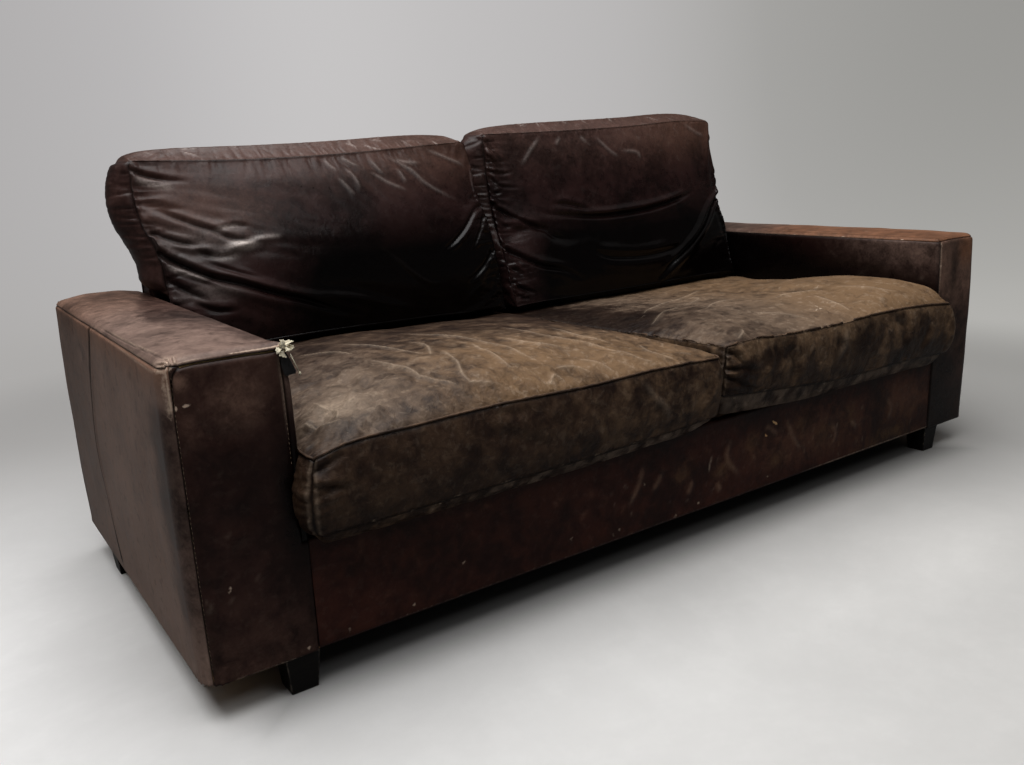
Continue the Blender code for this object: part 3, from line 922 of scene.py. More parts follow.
# a seat cushion's seams at its rear, and its height and a back cushion's thickness as their drawings see them
SEAT_REAR_TOP = 0.440
SEAT_REAR_LOW = 0.300
SEAT_RISE = 0.15
BACK_THICK = 0.13


def seat_span(side):
    low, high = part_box(f"seat_cushion_{side}")
    return low.x, high.x


def seat_top(side, s, t):
    """Height of a seat cushion's top."""
    shape = SEATS[side]
    rim = through(s, shape["top_seam"]) * (1 - t) + SEAT_REAR_TOP * t
    return rim + shape["crown"] * through(s, shape["across"]) * through(t, shape["along"])


def seat_place(side, share):
    """Carries shares of the box to the seat cushion's shape."""
    shape = SEATS[side]
    s, t, h = share.T
    x0, x1 = seat_span(side)
    depth = SEAT_REAR_SEAM_Y - SEAT_FRONT_SEAM_Y
    # plan, with rounded corners; the cushions' meeting leans to the right towards the front
    forward = 1 - ramp(t, 0.0, 0.6)
    x0 = x0 + shape["lean"][0] * forward
    x1 = x1 + shape["lean"][1] * forward
    width = x1 - x0
    plan = np.stack([x0 + width * s, SEAT_FRONT_SEAM_Y + depth * t], axis=1)
    lowest = np.stack([x0, np.full(len(s), SEAT_FRONT_SEAM_Y)], axis=1) + SEAT_CORNER
    highest = np.stack([x1, np.full(len(s), SEAT_REAR_SEAM_Y)], axis=1) - SEAT_CORNER
    core = np.clip(plan, lowest, highest)
    plan = core + round_corner(plan - core, SEAT_CORNER)
    out = unit(plan - core + 1e-9)
    # sides swell between the seams
    swell = np.sin(np.pi * np.clip(h, 0, 1) ** 0.8) ** 0.65
    side_face = (s < TINY) | (s > 1 - TINY) | (t < TINY) | (t > 1 - TINY)
    free = 1 - ramp(plan[:, 1], FRONT - 0.01, FRONT + 0.02)
    end_bulge = np.where(s < 0.5, *shape["bulge"])
    size = np.where(t < TINY, 0.012 + (end_bulge - 0.012) * bump_at(from_ends(s, width), 0, 0.015),
                    end_bulge * free + 0.0008)
    plan = plan + out * (swell * size * side_face)[:, None]
    plan[:, 1] += (1 - h) * 0.010 * (1 - t)
    # heights
    top_seam = through(s, shape["top_seam"]) * (1 - t) + SEAT_REAR_TOP * t
    low_seam = through(s, shape["low_seam"]) * (1 - t) + SEAT_REAR_LOW * t
    z = low_seam + (top_seam - low_seam) * h
    top = h > 1 - TINY
    z = np.where(top, seat_top(side, s, t), z)
    edge = np.minimum(from_ends(s, width), from_ends(t, depth))
    front_part = 1 - ramp(t * depth, 0.040, 0.052)
    under = (DECK + 0.0015) * (1 - front_part) + through(s, shape["low_edge"]) * front_part
    bottom = h < TINY
    z = np.where(bottom, low_seam + (under - low_seam) * ramp(edge, 0, 0.020), z)
    return np.stack([plan[:, 0], plan[:, 1], z], axis=1)


# A curve runs from a height in centimetres to a place or a fullness in millimetres; the top seam's runs along
# the width in percent. The crown and the belly are the fullness of the top and the front, in metres.
BACKS = {
    "left": {
        "left": "46,-903 60,-905 70,-912 76,-931 90,-934",
        "left_side": "46,1 60.2,1 61.8,24 67,36 90,46",
        "right": "46,-34 60,-43 70,-56 78,-74 85,-76 93,-96",
        "right_side": "46,6 90,12",
        "front": "46,250 60,268 70,285 80,312 90,332",
        "top_seam": "0,892 30,886 60,891 85,902 100,908",
        "crown": 0.030,
        "belly": 0.050,
    },
    "right": {
        "left": "43,-2 62,-7 95,-10",
        "left_side": "43,14 60,24 72,42 80,51 95,66",
        "right": "46,870 56,872 63,886 69,876 75,884 88,874 96,872",
        "right_side": "46,4 62,10 90,14",
        "front": "46,240 58,282.5 71,334 80,352 92,362",
        "top_seam": "0,926 30,930 60,938 90,950 100,946",
        "crown": 0.026,
        "belly": 0.045,
    },
}
# the round of a back cushion's top corners at its front and rear, and what is added half-way back
TOP_CORNER = (0.012, 0.030)
# how far the fixed back leans back for each metre of height
BACK_SLOPE = 0.065 / 0.420


def rake(z):
    """Rear of the back cushions: the raked face of the fixed back, carried on upward."""
    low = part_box("back_leather_inner")[0]
    return low.y + (z - low.z) * BACK_SLOPE


def back_place(side, share):
    """Carries shares of the box to the back cushion's shape: s across, t from front to rear, h up."""
    shape = BACKS[side]
    s, t, h = share.T
    low = seat_top(side, s, 0.90 + 0.08 * t) + 0.004
    low_seam = low + 0.018
    top_seam = through(s, shape["top_seam"])
    z = low_seam + (top_seam - low_seam) * h
    left, right = through(z, shape["left"]), through(z, shape["right"])
    x = left + (right - left) * s
    front_y = through(z, shape["front"])
    y = front_y + (rake(z) - 0.003 - front_y) * t
    # the front swells, and above the fixed back the rear does too
    across = 1 - np.abs(2 * s - 1) ** 3.5
    upward = 1 - np.abs(2 * h - 1) ** 2.6
    y = y - shape["belly"] * (across * upward) ** 0.62 * (t < TINY)
    over = ramp(z, BACK_TOP + 0.01, BACK_TOP + 0.09) * (1 - ramp(h, 0.8, 1.0))
    y = y + 0.022 * across ** 0.6 * over * (t > 1 - TINY)
    # so do the top and the sides
    thick = np.sin(np.pi * t) ** 0.75
    z = z + shape["crown"] * thick * across ** 0.35 * (h > 1 - TINY)
    inset = np.minimum(from_ends(s, 0.9), from_ends(t, 0.14))
    z = np.where(h < TINY, low_seam + (low - low_seam) * ramp(inset, 0, 0.030), z)
    full = np.sqrt(1 - np.abs(2 * np.clip(h, 0, 1) - 1) ** 5)
    left_full = through(z, shape["left_side"]) * thick * full
    right_full = through(z, shape["right_side"]) * thick * full
    x = x - left_full * (s < TINY) + right_full * (s > 1 - TINY)
    # the top corners are round, most of all half-way back
    round_by = TOP_CORNER[0] + TOP_CORNER[1] * thick
    ceiling = top_seam + shape["crown"] * thick
    for way, end in ((-1, left - through(z, shape["left_side"]) * thick),
                     (1, right + through(z, shape["right_side"]) * thick)):
        off = np.stack([(x - end) * way + round_by, z - ceiling + round_by], axis=1)
        both = (off > 0).all(axis=1)
        moved = round_corner(off, round_by[:, None]) - off
        x = x + way * moved[:, 0] * both
        z = z + moved[:, 1] * both
    return np.stack([x, y, z], axis=1)


# the stiffness of the cloth that stands for leather
TENSION = 12.0


def swell(lattice, pressure, spare, pin, frames, cap, bending, gravity=0.0):
    """Blender's cloth on a lattice: pressure fills it, spare is the share of extra leather at each point.

    No point goes further than the cap.
    """
    mesh = bpy.data.meshes.new("swelling")
    mesh.from_pydata(lattice.points.tolist(), [], lattice.quads.tolist())
    mesh.update()
    obj = bpy.data.objects.new("swelling", mesh)
    bpy.context.scene.collection.objects.link(obj)
    for name, weights in (("pin", pin), ("spare", spare / max(spare.max(), TINY))):
        group = obj.vertex_groups.new(name=name)
        for n, weight in enumerate(weights):
            group.add([n], float(weight), "REPLACE")
    cloth_modifier = obj.modifiers.new("cloth", "CLOTH")
    made = cloth_modifier.settings
    set_all(made, quality=5, mass=0.3, tension_stiffness=TENSION, compression_stiffness=TENSION,
            shear_stiffness=TENSION / 2, bending_stiffness=bending, use_pressure=True,
            uniform_pressure_force=pressure, vertex_group_mass="pin", pin_stiffness=1.0, shrink_min=0.0,
            shrink_max=-float(spare.max()), vertex_group_shrink="spare")
    made.effector_weights.gravity = gravity
    scene = bpy.context.scene
    scene.frame_start, scene.frame_end = 1, frames
    cloth_modifier.point_cache.frame_start = 1
    cloth_modifier.point_cache.frame_end = frames
    for frame_number in range(1, frames + 1):
        scene.frame_set(frame_number)
    evaluated = obj.evaluated_get(bpy.context.evaluated_depsgraph_get())
    swollen = np.zeros(len(lattice.points) * 3, np.float32)
    evaluated.data.vertices.foreach_get("co", swollen)
    moved = swollen.reshape(-1, 3) - lattice.points
    size = np.linalg.norm(moved, axis=1, keepdims=True)
    lattice.points = lattice.points + moved / np.maximum(size, 1e-9) * cap * np.tanh(size / cap)
    bpy.data.objects.remove(obj)
    bpy.data.meshes.remove(mesh)
    scene.frame_set(1)


def seam_loop(lattice, axis, end):
    """Point numbers round the border of one face of a lattice."""
    g = lattice.sheet(axis, end)
    return np.concatenate([g[:-1, 0], g[-1, :-1], g[:0:-1, -1], g[0, :0:-1]])


def press_seam(lattice, away, depth, width):
    """Draws the surface in along a seam; away is each point's distance from it."""
    lattice.points -= lattice.normals() * (depth * np.exp(-((away / width) ** 2)))[:, None]


def fold_left_seat(top, front):
    creases = ("24,34 27,19 28,12 34,1",
               "42,64 47,49 51,38 53,24 53,14 56,5",
               "68,52 69,38 69,26 73,15 77,4 84,1",
               "40,27 37,14 35,8 35,3", "34,5 37,4 40,3",
               "18,58 23,47 25,36", "27,56 31,42 34,34 36,22",
               "55,5 60,4.5 64,2", "63,8 67,4 69,1",
               "51,1 54,3 56,1", "86,14 84,7 88,1",
               "49,30 46,15 46,5", "40,43 40,33 35,21",
               "8,22 8,15 9,10 7,6", "3,14 5,8 9,5",
               "58,34 60,22 65,12", "78,40 77,26 80,14")
    for path in creases:
        top.ridge(3, 5, path)
        top.mark("crease", 0.16, 5, path)
        top.mark("line", 1.0, 3.6, path, taper=(0.15, 0.15))
    top.scratches("line", 1.0, 26, 120, -68, 10, 40, (5, 5), (95, 60), width=3.6, depth=1, curl=0.08)
    top.scratches("line", 1.0, 24, 35, -40, 30, 39, (30, 0), (95, 25), width=3.4, depth=1, curl=0.15)
    top.fold(4, 10, "2,34 7,30 14,29")
    top.wrinkles(5, 30, 50, 38, (8, 11), (7, 9))
    top.patch("crease", 0.34, (10, 12), (5, 6))
    top.fold(5, 8, "0,12 4,10 8,12", taper=(0.0, 0.4))
    top.wrinkles(3, 40, -68, 41, (45, 25), (45, 35))
    top.wrinkles(2.4, 26, -80, 42, (12, 15), (12, 20))
    top.scratches("soot", 0.5, 16, 30, -60, 40, 43, (5, 0), (95, 50), width=3)
    top.gathers("left", 6, 22, 35, 44, high=50)
    top.gathers("bottom", 2.2, 14, 14, 45)
    front.fold(5, 7, "-1,82 3,88 7,92", taper=(0.0, 0.4))
    front.fold(7, 5, "-1,72 3,60 7,50", taper=(0.0, 0.4))
    front.fold(4, 5, "-1,52 2,56 4,60", taper=(0.0, 0.4))
    front.fold(4, 14, "55,98 55,48 56,10")
    front.ridge(5, 9, "74,98 78,62 81,46 83,15")
    front.ridge(5, 10, "92,12 96,46 98,70")
    front.fold(4, 12, "35,74 43,53 52,28")
    front.fold(3, 9, "36,90 40,87 47,82")
    front.mark("crease", 0.16, 7, "74,98 78,62 81,46 83,15")
    front.scratches("crease", 0.06, 16, 50, 80, 30, 46, (2, 5), (98, 95), width=4, depth=1.4)
    front.gathers("left", 5, 18, 30, 47)
    front.gathers("top", 2.2, 12, 12, 48)
    front.gathers("bottom", 3, 26, 30, 49)


def fold_right_seat(top, front):
    creases = ("10,40 18,46 30,53 48,60 62,68",
               "22,28 33,34 43,35", "52,30 57,26 64,24 72,28",
               "3,30 13,35 26,41", "12,6 9,3 5,1",
               "45,58 41,49 32,43 26,46", "60,22 58,12 55,3",
               "30,20 36,12 40,4", "70,22 74,12 80,4")
    for path in creases:
        top.ridge(4, 7, path)
        top.mark("crease", 0.16, 6, path)
        top.mark("line", 1.0, 3.6, path, taper=(0.15, 0.15))
    top.scratches("line", 1.0, 18, 80, 50, 26, 50, (5, 5), (95, 60), width=3.6, depth=1, curl=0.10)
    top.scratches("line", 1.0, 18, 30, -30, 40, 49, (5, 0), (75, 25), width=3.4, depth=1, curl=0.15)
    top.fold(8, 22, "55,66 60,45 62,30 72,20", left=0.3, right=0.3)
    top.wrinkles(3.4, 50, 60, 51, (45, 25), (40, 35))
    top.wrinkles(2.2, 24, -75, 52, (10, 10), (14, 14))
    top.scratches("scuff", 0.95, 9, 22, 60, 22, 61, (44, 4), (52, 12), width=2.4)
    top.ridge(6, 6, "47,14 49,9 47,5")
    top.fold(6, 6, "52,11 51,6 53,3")
    top.gathers("left", 5, 24, 35, 54, high=40)
    top.gathers("bottom", 2.2, 14, 14, 55)
    front.fold(7, 6, "-1,90 3,80 5,63 9,50", taper=(0.0, 0.4))
    front.fold(8, 6, "-1,55 3,54 7,50 13,35", taper=(0.0, 0.4))
    front.fold(7, 5, "-1,44 4,30 9,12 17,2", taper=(0.0, 0.4))
    front.ridge(4, 9, "13,95 16,55 12,22")
    front.fold(5, 14, "20,90 25,48 24,5")
    front.ridge(4, 10, "47,98 46,64 41,36")
    front.fold(5, 12, "68,90 75,64 73,30")
    front.fold(4, 10, "88,80 86,45 83,15")
    front.mark("crease", 0.2, 10, "47,98 46,64 42,40")
    front.scratches("crease", 0.06, 16, 50, 80, 30, 56, (2, 5), (98, 95), width=4, depth=1.4)
    front.gathers("left", 8, 18, 40, 57)
    front.gathers("top", 2.2, 12, 12, 58)
    front.gathers("bottom", 3, 26, 30, 59)


def seat_wear_sheen_and_shade(side, points, s, t, h, top, from_low):
    """Wear, warmth and soot over a seat cushion, with painted sheen at the left cushion's front left and
    painted shade towards the rear.
    """
    rear = ramp(t, 0.10, 0.55)
    if side == "left":
        wear = 0.20 + 0.50 * (1 - rear) * (0.30 + 0.70 * ramp(s, 0.15, 0.55)) - 0.14 * ramp(s, 0.75, 1.0)
        # painted sheen: the front left of the top is lighter and greyer, as the light's reflection
        front_left_sheen = bump_at(s, 0.15, 0.10) * bump_at(t, 0.17, 0.14)
        wear = wear + 0.34 * front_left_sheen
        warmth = 0.15 + 0.75 * ramp(s, 0.15, 0.45) * (1 - 0.5 * rear)
        # painted shade towards the rear under the back cushion and at the rear left by the arm, and a dark
        # spot in the middle
        soot = 0.35 * bump_at(s, 0.62, 0.05) * bump_at(t, 0.46, 0.08)
        soot = soot + 0.3 * (1 - ramp(s, 0.0, 0.3)) * ramp(t, 0.3, 0.6)
        soot = soot + 0.22 * ramp(t, 0.42, 0.85)
        side_wear = 0.15 + 0.12 * ramp(s, 0.40, 0.9)
        side_soot = 0.0
    else:
        # painted shade at the rear left of the right cushion, where it meets the other cushion and the backs
        rear_left_shade = (1 - ramp(s + 0.10 * fractal(points, 0.10, 2, 67), 0.06, 0.26)) * ramp(t, 0.18, 0.36)
        wear = 0.44 + 0.44 * ramp(s, 0.05, 0.5) * (1 - 0.55 * rear) - 0.45 * rear_left_shade
        warmth = 0.25 + 0.65 * ramp(s, 0.25, 0.7)
        soot = 0.55 * rear_left_shade
        blotch = ramp(fractal(points, 0.10, 3, 66), -0.05, 0.35)
        side_wear = 0.32 - 0.18 * blotch + 0.20 * bump_at(s, 0.46, 0.04) * h + 0.22 * ramp(h, 0.55, 1.0)
        side_soot = 0.30 * blotch
    # the hem under the low seam is grey and rubbed
    hem = (h < TINY) * ramp(from_low, 0.001, 0.004) * (1 - ramp(from_low, 0.020, 0.040))
    hem = hem * (1.0 if side == "right" else 0.35 + 0.65 * ramp(s, 0.15, 0.45))
    side_wear = side_wear + hem * (0.24 + 0.9 * fractal(points, 0.03, 3, 68))
    side_warmth = 0.75 * (1 - hem)
    return np.where(top, wear, side_wear), np.where(top, warmth, side_warmth), np.where(top, soot, side_soot)


def make_seat_cushion(side, finishes):
    low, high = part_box(f"seat_cushion_{side}")
    width, depth = high.x - low.x, SEAT_REAR_SEAM_Y - SEAT_FRONT_SEAM_Y
    rise = SEAT_RISE
    lattice = Lattice(spaced(width, 0.0075, SEAM_STEPS), spaced(depth, 0.0078, SEAM_STEPS),
                      spaced(rise, 0.0085, SEAM_STEPS))
    lattice.points = seat_place(side, lattice.share)
    s, t, h = lattice.share.T
    seed = 3 if side == "left" else 8
    top = h > 1 - TINY
    inner_top = np.clip(np.minimum(from_ends(s), from_ends(t)) / 0.06, 0, 1)
    lattice.points[:, 2] += top * inner_top * 0.004 * fractal(lattice.points, 0.16, 2, seed)
    held = (h < TINY) | (top & (inner_top < 0.02)) | (s < TINY) | (s > 1 - TINY)
    pin = np.maximum(np.clip((t - 0.8) / 0.1, 0, 1), held)
    swell(lattice, pressure=2.0, spare=0.05 * np.ones(len(s)), pin=pin, frames=16, cap=0.009, bending=0.8)
    lattice = lattice.finer()
    s, t, h = lattice.share.T
    top = h > 1 - TINY
    edge = np.minimum(from_ends(s, width), from_ends(t, depth))
    from_top = np.where(top, edge, (1 - h) * rise)
    from_low = np.where(h < TINY, edge, h * rise)
    from_upright = np.where(t < TINY, from_ends(s, width), t * depth) + 1.0 * (top | (h < TINY))
    wear, warmth, soot = seat_wear_sheen_and_shade(side, lattice.points, s, t, h, top, from_low)
    masks = {"wear": wear, "warmth": warmth, "soot": soot}
    masks.update({name: np.zeros(len(s)) for name in ("crease", "scuff", "line")})
    upper = Face(lattice, 2, 1, width, depth)
    front = Face(lattice, 1, 0, width, rise)
    (fold_left_seat if side == "left" else fold_right_seat)(upper, front)
    sides = [Face(lattice, 0, end, depth, rise) for end in (0, 1)]
    for number, face in enumerate(sides):
        face.gathers("left", 6, 20, 40, 101 + number)
        face.gathers("top", 3, 24, 30, 103 + number)
    for face in (upper, front, *sides):
        face.apply(lattice, masks)
    press_seam(lattice, from_top, depth=0.0034, width=0.005)
    press_seam(lattice, from_low, depth=0.0030, width=0.005)
    press_seam(lattice, from_upright, depth=0.0030, width=0.005)
    groove = bump_at(from_top, 0.004, 0.0026) * (1 - top) * 0.6
    deepen(masks, "soot", groove)
    deepen(masks, "soot", 0.85 * bump_at(from_low, 0.0, 0.0028))
    deepen(masks, "soot", 0.85 * bump_at(from_upright, 0.0, 0.0024))
    deepen(masks, "crease", 0.20 * bump_at(from_upright, 0.006, 0.0022))
    flecks = np.clip(noise(lattice.points, 0.012, 65) * 2.0, 0, 1) * bump_at(from_low, 0.002, 0.007)
    deepen(masks, "scuff", 0.5 * flecks)
    obj = add_mesh(f"seat_cushion_{side}_cover", lattice.points, lattice.faces(((1, 1), (2, 0))),
                   finishes["seat"], masks)
    piece(obj, "seat_leather", f"seat_cushion_{side}")
    loop = lattice.points[seam_loop(lattice, 2, 1)]
    loop = np.concatenate([loop, loop[:1]])
    out = lattice.normals()[seam_loop(lattice, 2, 1)]
    path = loop + np.concatenate([out, out[:1]]) * 0.0030
    welt = add_mesh(f"seat_cushion_{side}_welt", *tube(path, radius=0.0022), finishes["welt"])
    piece(welt, "seat_leather")


def fold_left_back(face):
    face.fold(12, 7, "-2,60 2,51 6,45 11,39 18,34 26,27 35,20 45,11 56,4", left=0.8, right=0.45,
              taper=(0.0, 0.35))
    face.ridge(4, 6, "0,50 5,44 10,38 16,32", taper=(0.05, 0.5))
    face.fold(7, 5, "-1,97 3,93 8,91 15,89.5", taper=(0.0, 0.5))
    face.fold(3, 8, "1,80 6,77 12,74")
    face.fold(6, 7, "1,79 9,70 14,65 19,61")
    face.fold(4, 5, "15,62 20,65 26,65")
    face.fold(6, 6, "15,63 20,58 26,57")
    face.fold(6, 6, "0,66 6,59 11,56.5", taper=(0.1, 0.4))
    face.fold(5, 6, "8,55 13,50 19,50")
    face.fold(4, 4, "10,48 17,41 24,35")
    face.ridge(3, 6, "2,59 8,55 15,55")
    face.ridge(5, 9, "11,47 19,54 26,57 34,57.5")
    face.patch("rise", 4, (20, 55), (4, 4))
    # painted highlights: pale blots and lines on the ridges at the left; painted sheen: a faint pale veil at
    # the left and the lighter upper left
    face.patch("crease", 0.90, (20.5, 54.8), (3.2, 2.2))
    face.patch("crease", 0.40, (15.5, 50), (3, 2.4))
    face.mark("crease", 0.32, 6, "20,56.5 26,58 33,58")
    face.mark("crease", 0.36, 5, "15,63 19,65 24,65.5")
    face.mark("crease", 0.30, 6, "0,49 5,43 11,37.5")
    face.mark("crease", 0.26, 8, "0,92 5,88.5 11,86.5")
    face.patch("crease", 0.12, (10, 32), (7, 5))
    face.patch("crease", 0.08, (12, 58), (14, 10))
    face.patch("wear", 0.50, (15, 76), (22, 20))
    face.wrinkles(3, 30, -14, 64, (20, 62), (26, 22))
    face.wrinkles(2.2, 24, -50, 65, (75, 85), (25, 18))
    face.wrinkles(2.6, 30, -30, 66, (15, 25), (20, 16))
    face.fold(7, 7, "-1,43 5,33 11,26", taper=(0.0, 0.4))
    face.fold(4, 6, "2,44 7,39 13,33")
    face.fold(6, 7, "4,30 10,22 17,20")
    face.fold(6, 6, "-1,30 3,22 6,14", taper=(0.0, 0.4))
    face.ridge(7, 11, "28,27 41,22 50,18 62,10 76,2")
    face.ridge(2.5, 6, "56,52 64,37 68,29 73,22 80,20")
    face.mark("crease", 0.18, 4, "58,48 64,37 68,29 73,22 80,20")
    face.fold(6, 5, "101,63 96,60 89,50 83,43 78,39", taper=(0.0, 0.4))
    face.fold(4, 4, "100,58 95,47 89,36", taper=(0.1, 0.4))
    face.fold(5, 5, "101,38 93,26 86,18", taper=(0.0, 0.4))
    face.ridge(3, 10, "96,26 92,18 88,11 83,3")
    streaks = ("52,99 53,95 55,90", "54,88 56,82 58,76",
               "57,93 59,87 60,79", "66,97 67,91 68.5,87",
               "64,90 69,82 75,76", "70,99 77,89 82,78 92,66",
               "85,99 92,92 98,86", "73,90 75,80",
               "74,95 77,92.5 82,91", "57,99 59,96 62,92")
    for path in streaks:
        face.ridge(1.6, 4.5, path, taper=(0.3, 0.3))
        face.mark("crease", 0.13, 4, path)
        face.mark("line", 0.7, 3, path)
    face.gathers("left", 6, 20, 45, 61)
    face.gathers("right", 6, 22, 40, 62, high=70)
    face.gathers("top", 2.5, 18, 20, 63)


def fold_right_back(face):
    face.fold(11, 6, "13,53 25,50 39,47 52,47 64,48 77,51 88,56", left=0.8, right=0.5, taper=(0.4, 0.25))
    face.fold(5, 6, "20,58 30,55 38,49")
    face.fold(7, 5, "-1,60 5,53 12,46 19,42", taper=(0.0, 0.4))
    face.fold(8, 12, "2,41 9,44 16,43 20,38 28,34")
    face.fold(8, 9, "29,31 39,23 52,20 64,20 80,23")
    face.fold(11, 5, "101,52 95,44 86,32 79,23 71,15 61,4", left=0.5, right=0.8, taper=(0.0, 0.3))
    face.ridge(5, 8, "84,22 76,15 67,6 61,0", taper=(0.3, 0.1))
    face.fold(9, 6, "-1,37 5,29 12,22 20,18 29,9", taper=(0.0, 0.4))
    face.ridge(5, 5, "0,34 3,25 8,16", taper=(0.1, 0.4))
    face.fold(7, 5, "-1,19 3,11 10,5", taper=(0.0, 0.4))
    pinches = ("-1,80 3,71 7,69 12,68", "-1,79 5,77 10,78",
               "-1,70 2,66 6,68.5", "-1,66 2,62 7,56",
               "-1,62 2,57 6,50", "-1,100 3,90 7,81",
               "-1,90 2,85 5,80", "-1,52 3,47 6,46",
               "-1,28 2,22 5,19", "-1,10 3,5 6,3")
    for path in pinches:
        face.fold(4, 3.5, path, left=0.8, right=0.5, taper=(0.0, 0.5))
    streaks = ("44,97 49,87 53,82", "22,98 17,90 12,80",
               "53,86 61,84 62,79", "86,99 92,93 97,90",
               "30,97 27,92", "38,97 40,92")
    for path in streaks:
        face.ridge(2, 4.5, path, taper=(0.3, 0.3))
        face.mark("crease", 0.10, 5, path)
        face.mark("line", 0.6, 3, path)
    face.wrinkles(2.4, 34, 8, 74, (45, 50), (40, 22))
    face.wrinkles(1.8, 26, -55, 75, (45, 88), (40, 12))
    face.gathers("left", 9, 20, 35, 71)
    face.gathers("right", 5, 24, 40, 72, high=70)
    face.gathers("top", 2.5, 18, 20, 73)


def make_back_cushion(side, finishes):
    low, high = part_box(f"back_cushion_{side}")
    width, rise, thick = high.x - low.x, high.z - low.z, BACK_THICK
    lattice = Lattice(spaced(width, 0.0072, SEAM_STEPS), spaced(thick, 0.010, SEAM_STEPS),
                      spaced(rise, 0.0072, SEAM_STEPS))
    lattice.points = back_place(side, lattice.share)
    s, t, h = lattice.share.T
    front = t < TINY
    border = np.minimum(from_ends(s), from_ends(h))
    pin = 1.0 * ((t > 0.4) | (h < TINY) | (front & (border < 1e-4)))
    spare = np.where(front, 0.07, 0.02)
    swell(lattice, pressure=1.6, spare=spare, pin=pin, frames=18, cap=0.014, gravity=0.35, bending=0.5)
    lattice = lattice.finer()
    s, t, h = lattice.share.T
    front = t < TINY
    top = h > 1 - TINY
    edge = np.minimum(from_ends(s, width), from_ends(h, rise))
    from_front = np.where(front, edge, t * thick)
    # painted shade: the lower front of each back cushion, above the seat, goes nearly black
    if side == "left":
        soot = ramp(s, 0.16, 0.46) * (1 - ramp(h, 0.22, 0.76))
        soot = soot + 0.3 * ramp(s, 0.2, 0.5) * (1 - ramp(h, 0.5, 0.95))
    else:
        soot = ramp(s, 0.06, 0.22) * (1 - ramp(h, 0.24, 0.68)) + 0.2 * (1 - ramp(h, 0.4, 0.9))
        soot = soot + 0.3 * (1 - ramp(s, 0.1, 0.3)) * (1 - ramp(h, 0.15, 0.5))
    # the upper front is lighter, partly wear and partly painted sheen, more so to the right
    to_right = (0.22 if side == "left" else 0.60) * ramp(s, 0.3, 0.9)
    upper_wear_and_sheen = 0.46 * front * ramp(h, 0.62, 1.0) * (0.5 + to_right)
    wear = np.where(top, 0.45, np.where((s < TINY) & (h > 0.3), 0.22, 0.08)) + upper_wear_and_sheen
    masks = {"wear": wear, "warmth": 0.20 + 0.5 * ramp(s, 0.4, 0.9), "soot": np.clip(soot, 0, 0.97)}
    masks.update({name: np.zeros(len(s)) for name in ("crease", "scuff", "line")})
    drawing = Face(lattice, 1, 0, width, rise)
    (fold_left_back if side == "left" else fold_right_back)(drawing)
    upper = Face(lattice, 2, 1, width, thick)
    upper.scratches("crease", 0.30, 26, 50, -50, 14, 31 if side == "left" else 32, depth=1.2)
    upper.gathers("bottom", 3, 20, 30, 33)
    sides = [Face(lattice, 0, end, thick, rise) for end in (0, 1)]
    for number, face in enumerate(sides):
        face.gathers("left", 6, 22, 35, 81 + number)
        face.gathers("right", 4, 30, 35, 91 + number)
        face.gathers("bottom", 6, 26, 50, 95 + number)
    for face in (drawing, upper, *sides):
        face.apply(lattice, masks)
    press_seam(lattice, from_front, depth=0.0026, width=0.0040)
    deepen(masks, "soot", bump_at(from_front, 0.0, 0.0020) * 0.9)
    obj = add_mesh(f"back_cushion_{side}_cover", lattice.points, lattice.faces(((1, 1), (2, 0))),
                   finishes["back"], masks)
    piece(obj, "back_cushion_leather", f"back_cushion_{side}")


# ---------------------------------------------------------------- arms

# the leather's thickness
LEATHER = 0.0012
ARM_EDGE = 0.020
UPRIGHT_EDGE = 0.007
CORNER = 0.035
SEAM_OUTER = OUTER - 0.010
SEAM_INNER = INNER + 0.012
SEAM_TOP_OUTSIDE = ARM_TOP - 0.011
SEAM_TOP_FRONT = ARM_TOP - 0.007
SEAM_TOP_INSIDE = ARM_TOP - 0.008


def lines_at(low, high, cell, seams, fine=()):
    """Lattice lines from low to high about a cell apart.

    They are close together beside each seam and each end and in the fine (start, end, cell) stretches.
    """
    near = (0.0, 0.003, 0.007, 0.012)
    wanted = {low, high}
    for start, end, _ in fine:
        wanted.update((start, end))
    for seam in (low, high, *seams):
        for step in near:
            wanted.update((seam - step, seam + step))
    places = sorted(p for p in wanted if low - 1e-9 <= p <= high + 1e-9)
    kept = [places[0]]
    for place in places[1:]:
        if place - kept[-1] > 0.0016 or place in seams or place == high:
            if place - kept[-1] <= 0.0016 and kept[-1] not in seams and kept[-1] != low:
                kept.pop()
            kept.append(place)
    made = [kept[0]]
    for place in kept[1:]:
        start = made[-1]
        here = min([c for a, b, c in fine if a - TINY < (start + place) / 2 < b + TINY] + [cell])
        count = max(1, int(math.ceil((place - start) / here - 0.2)))
        made.extend(start + (place - start) * n / count for n in range(1, count + 1))
    return np.array(made)


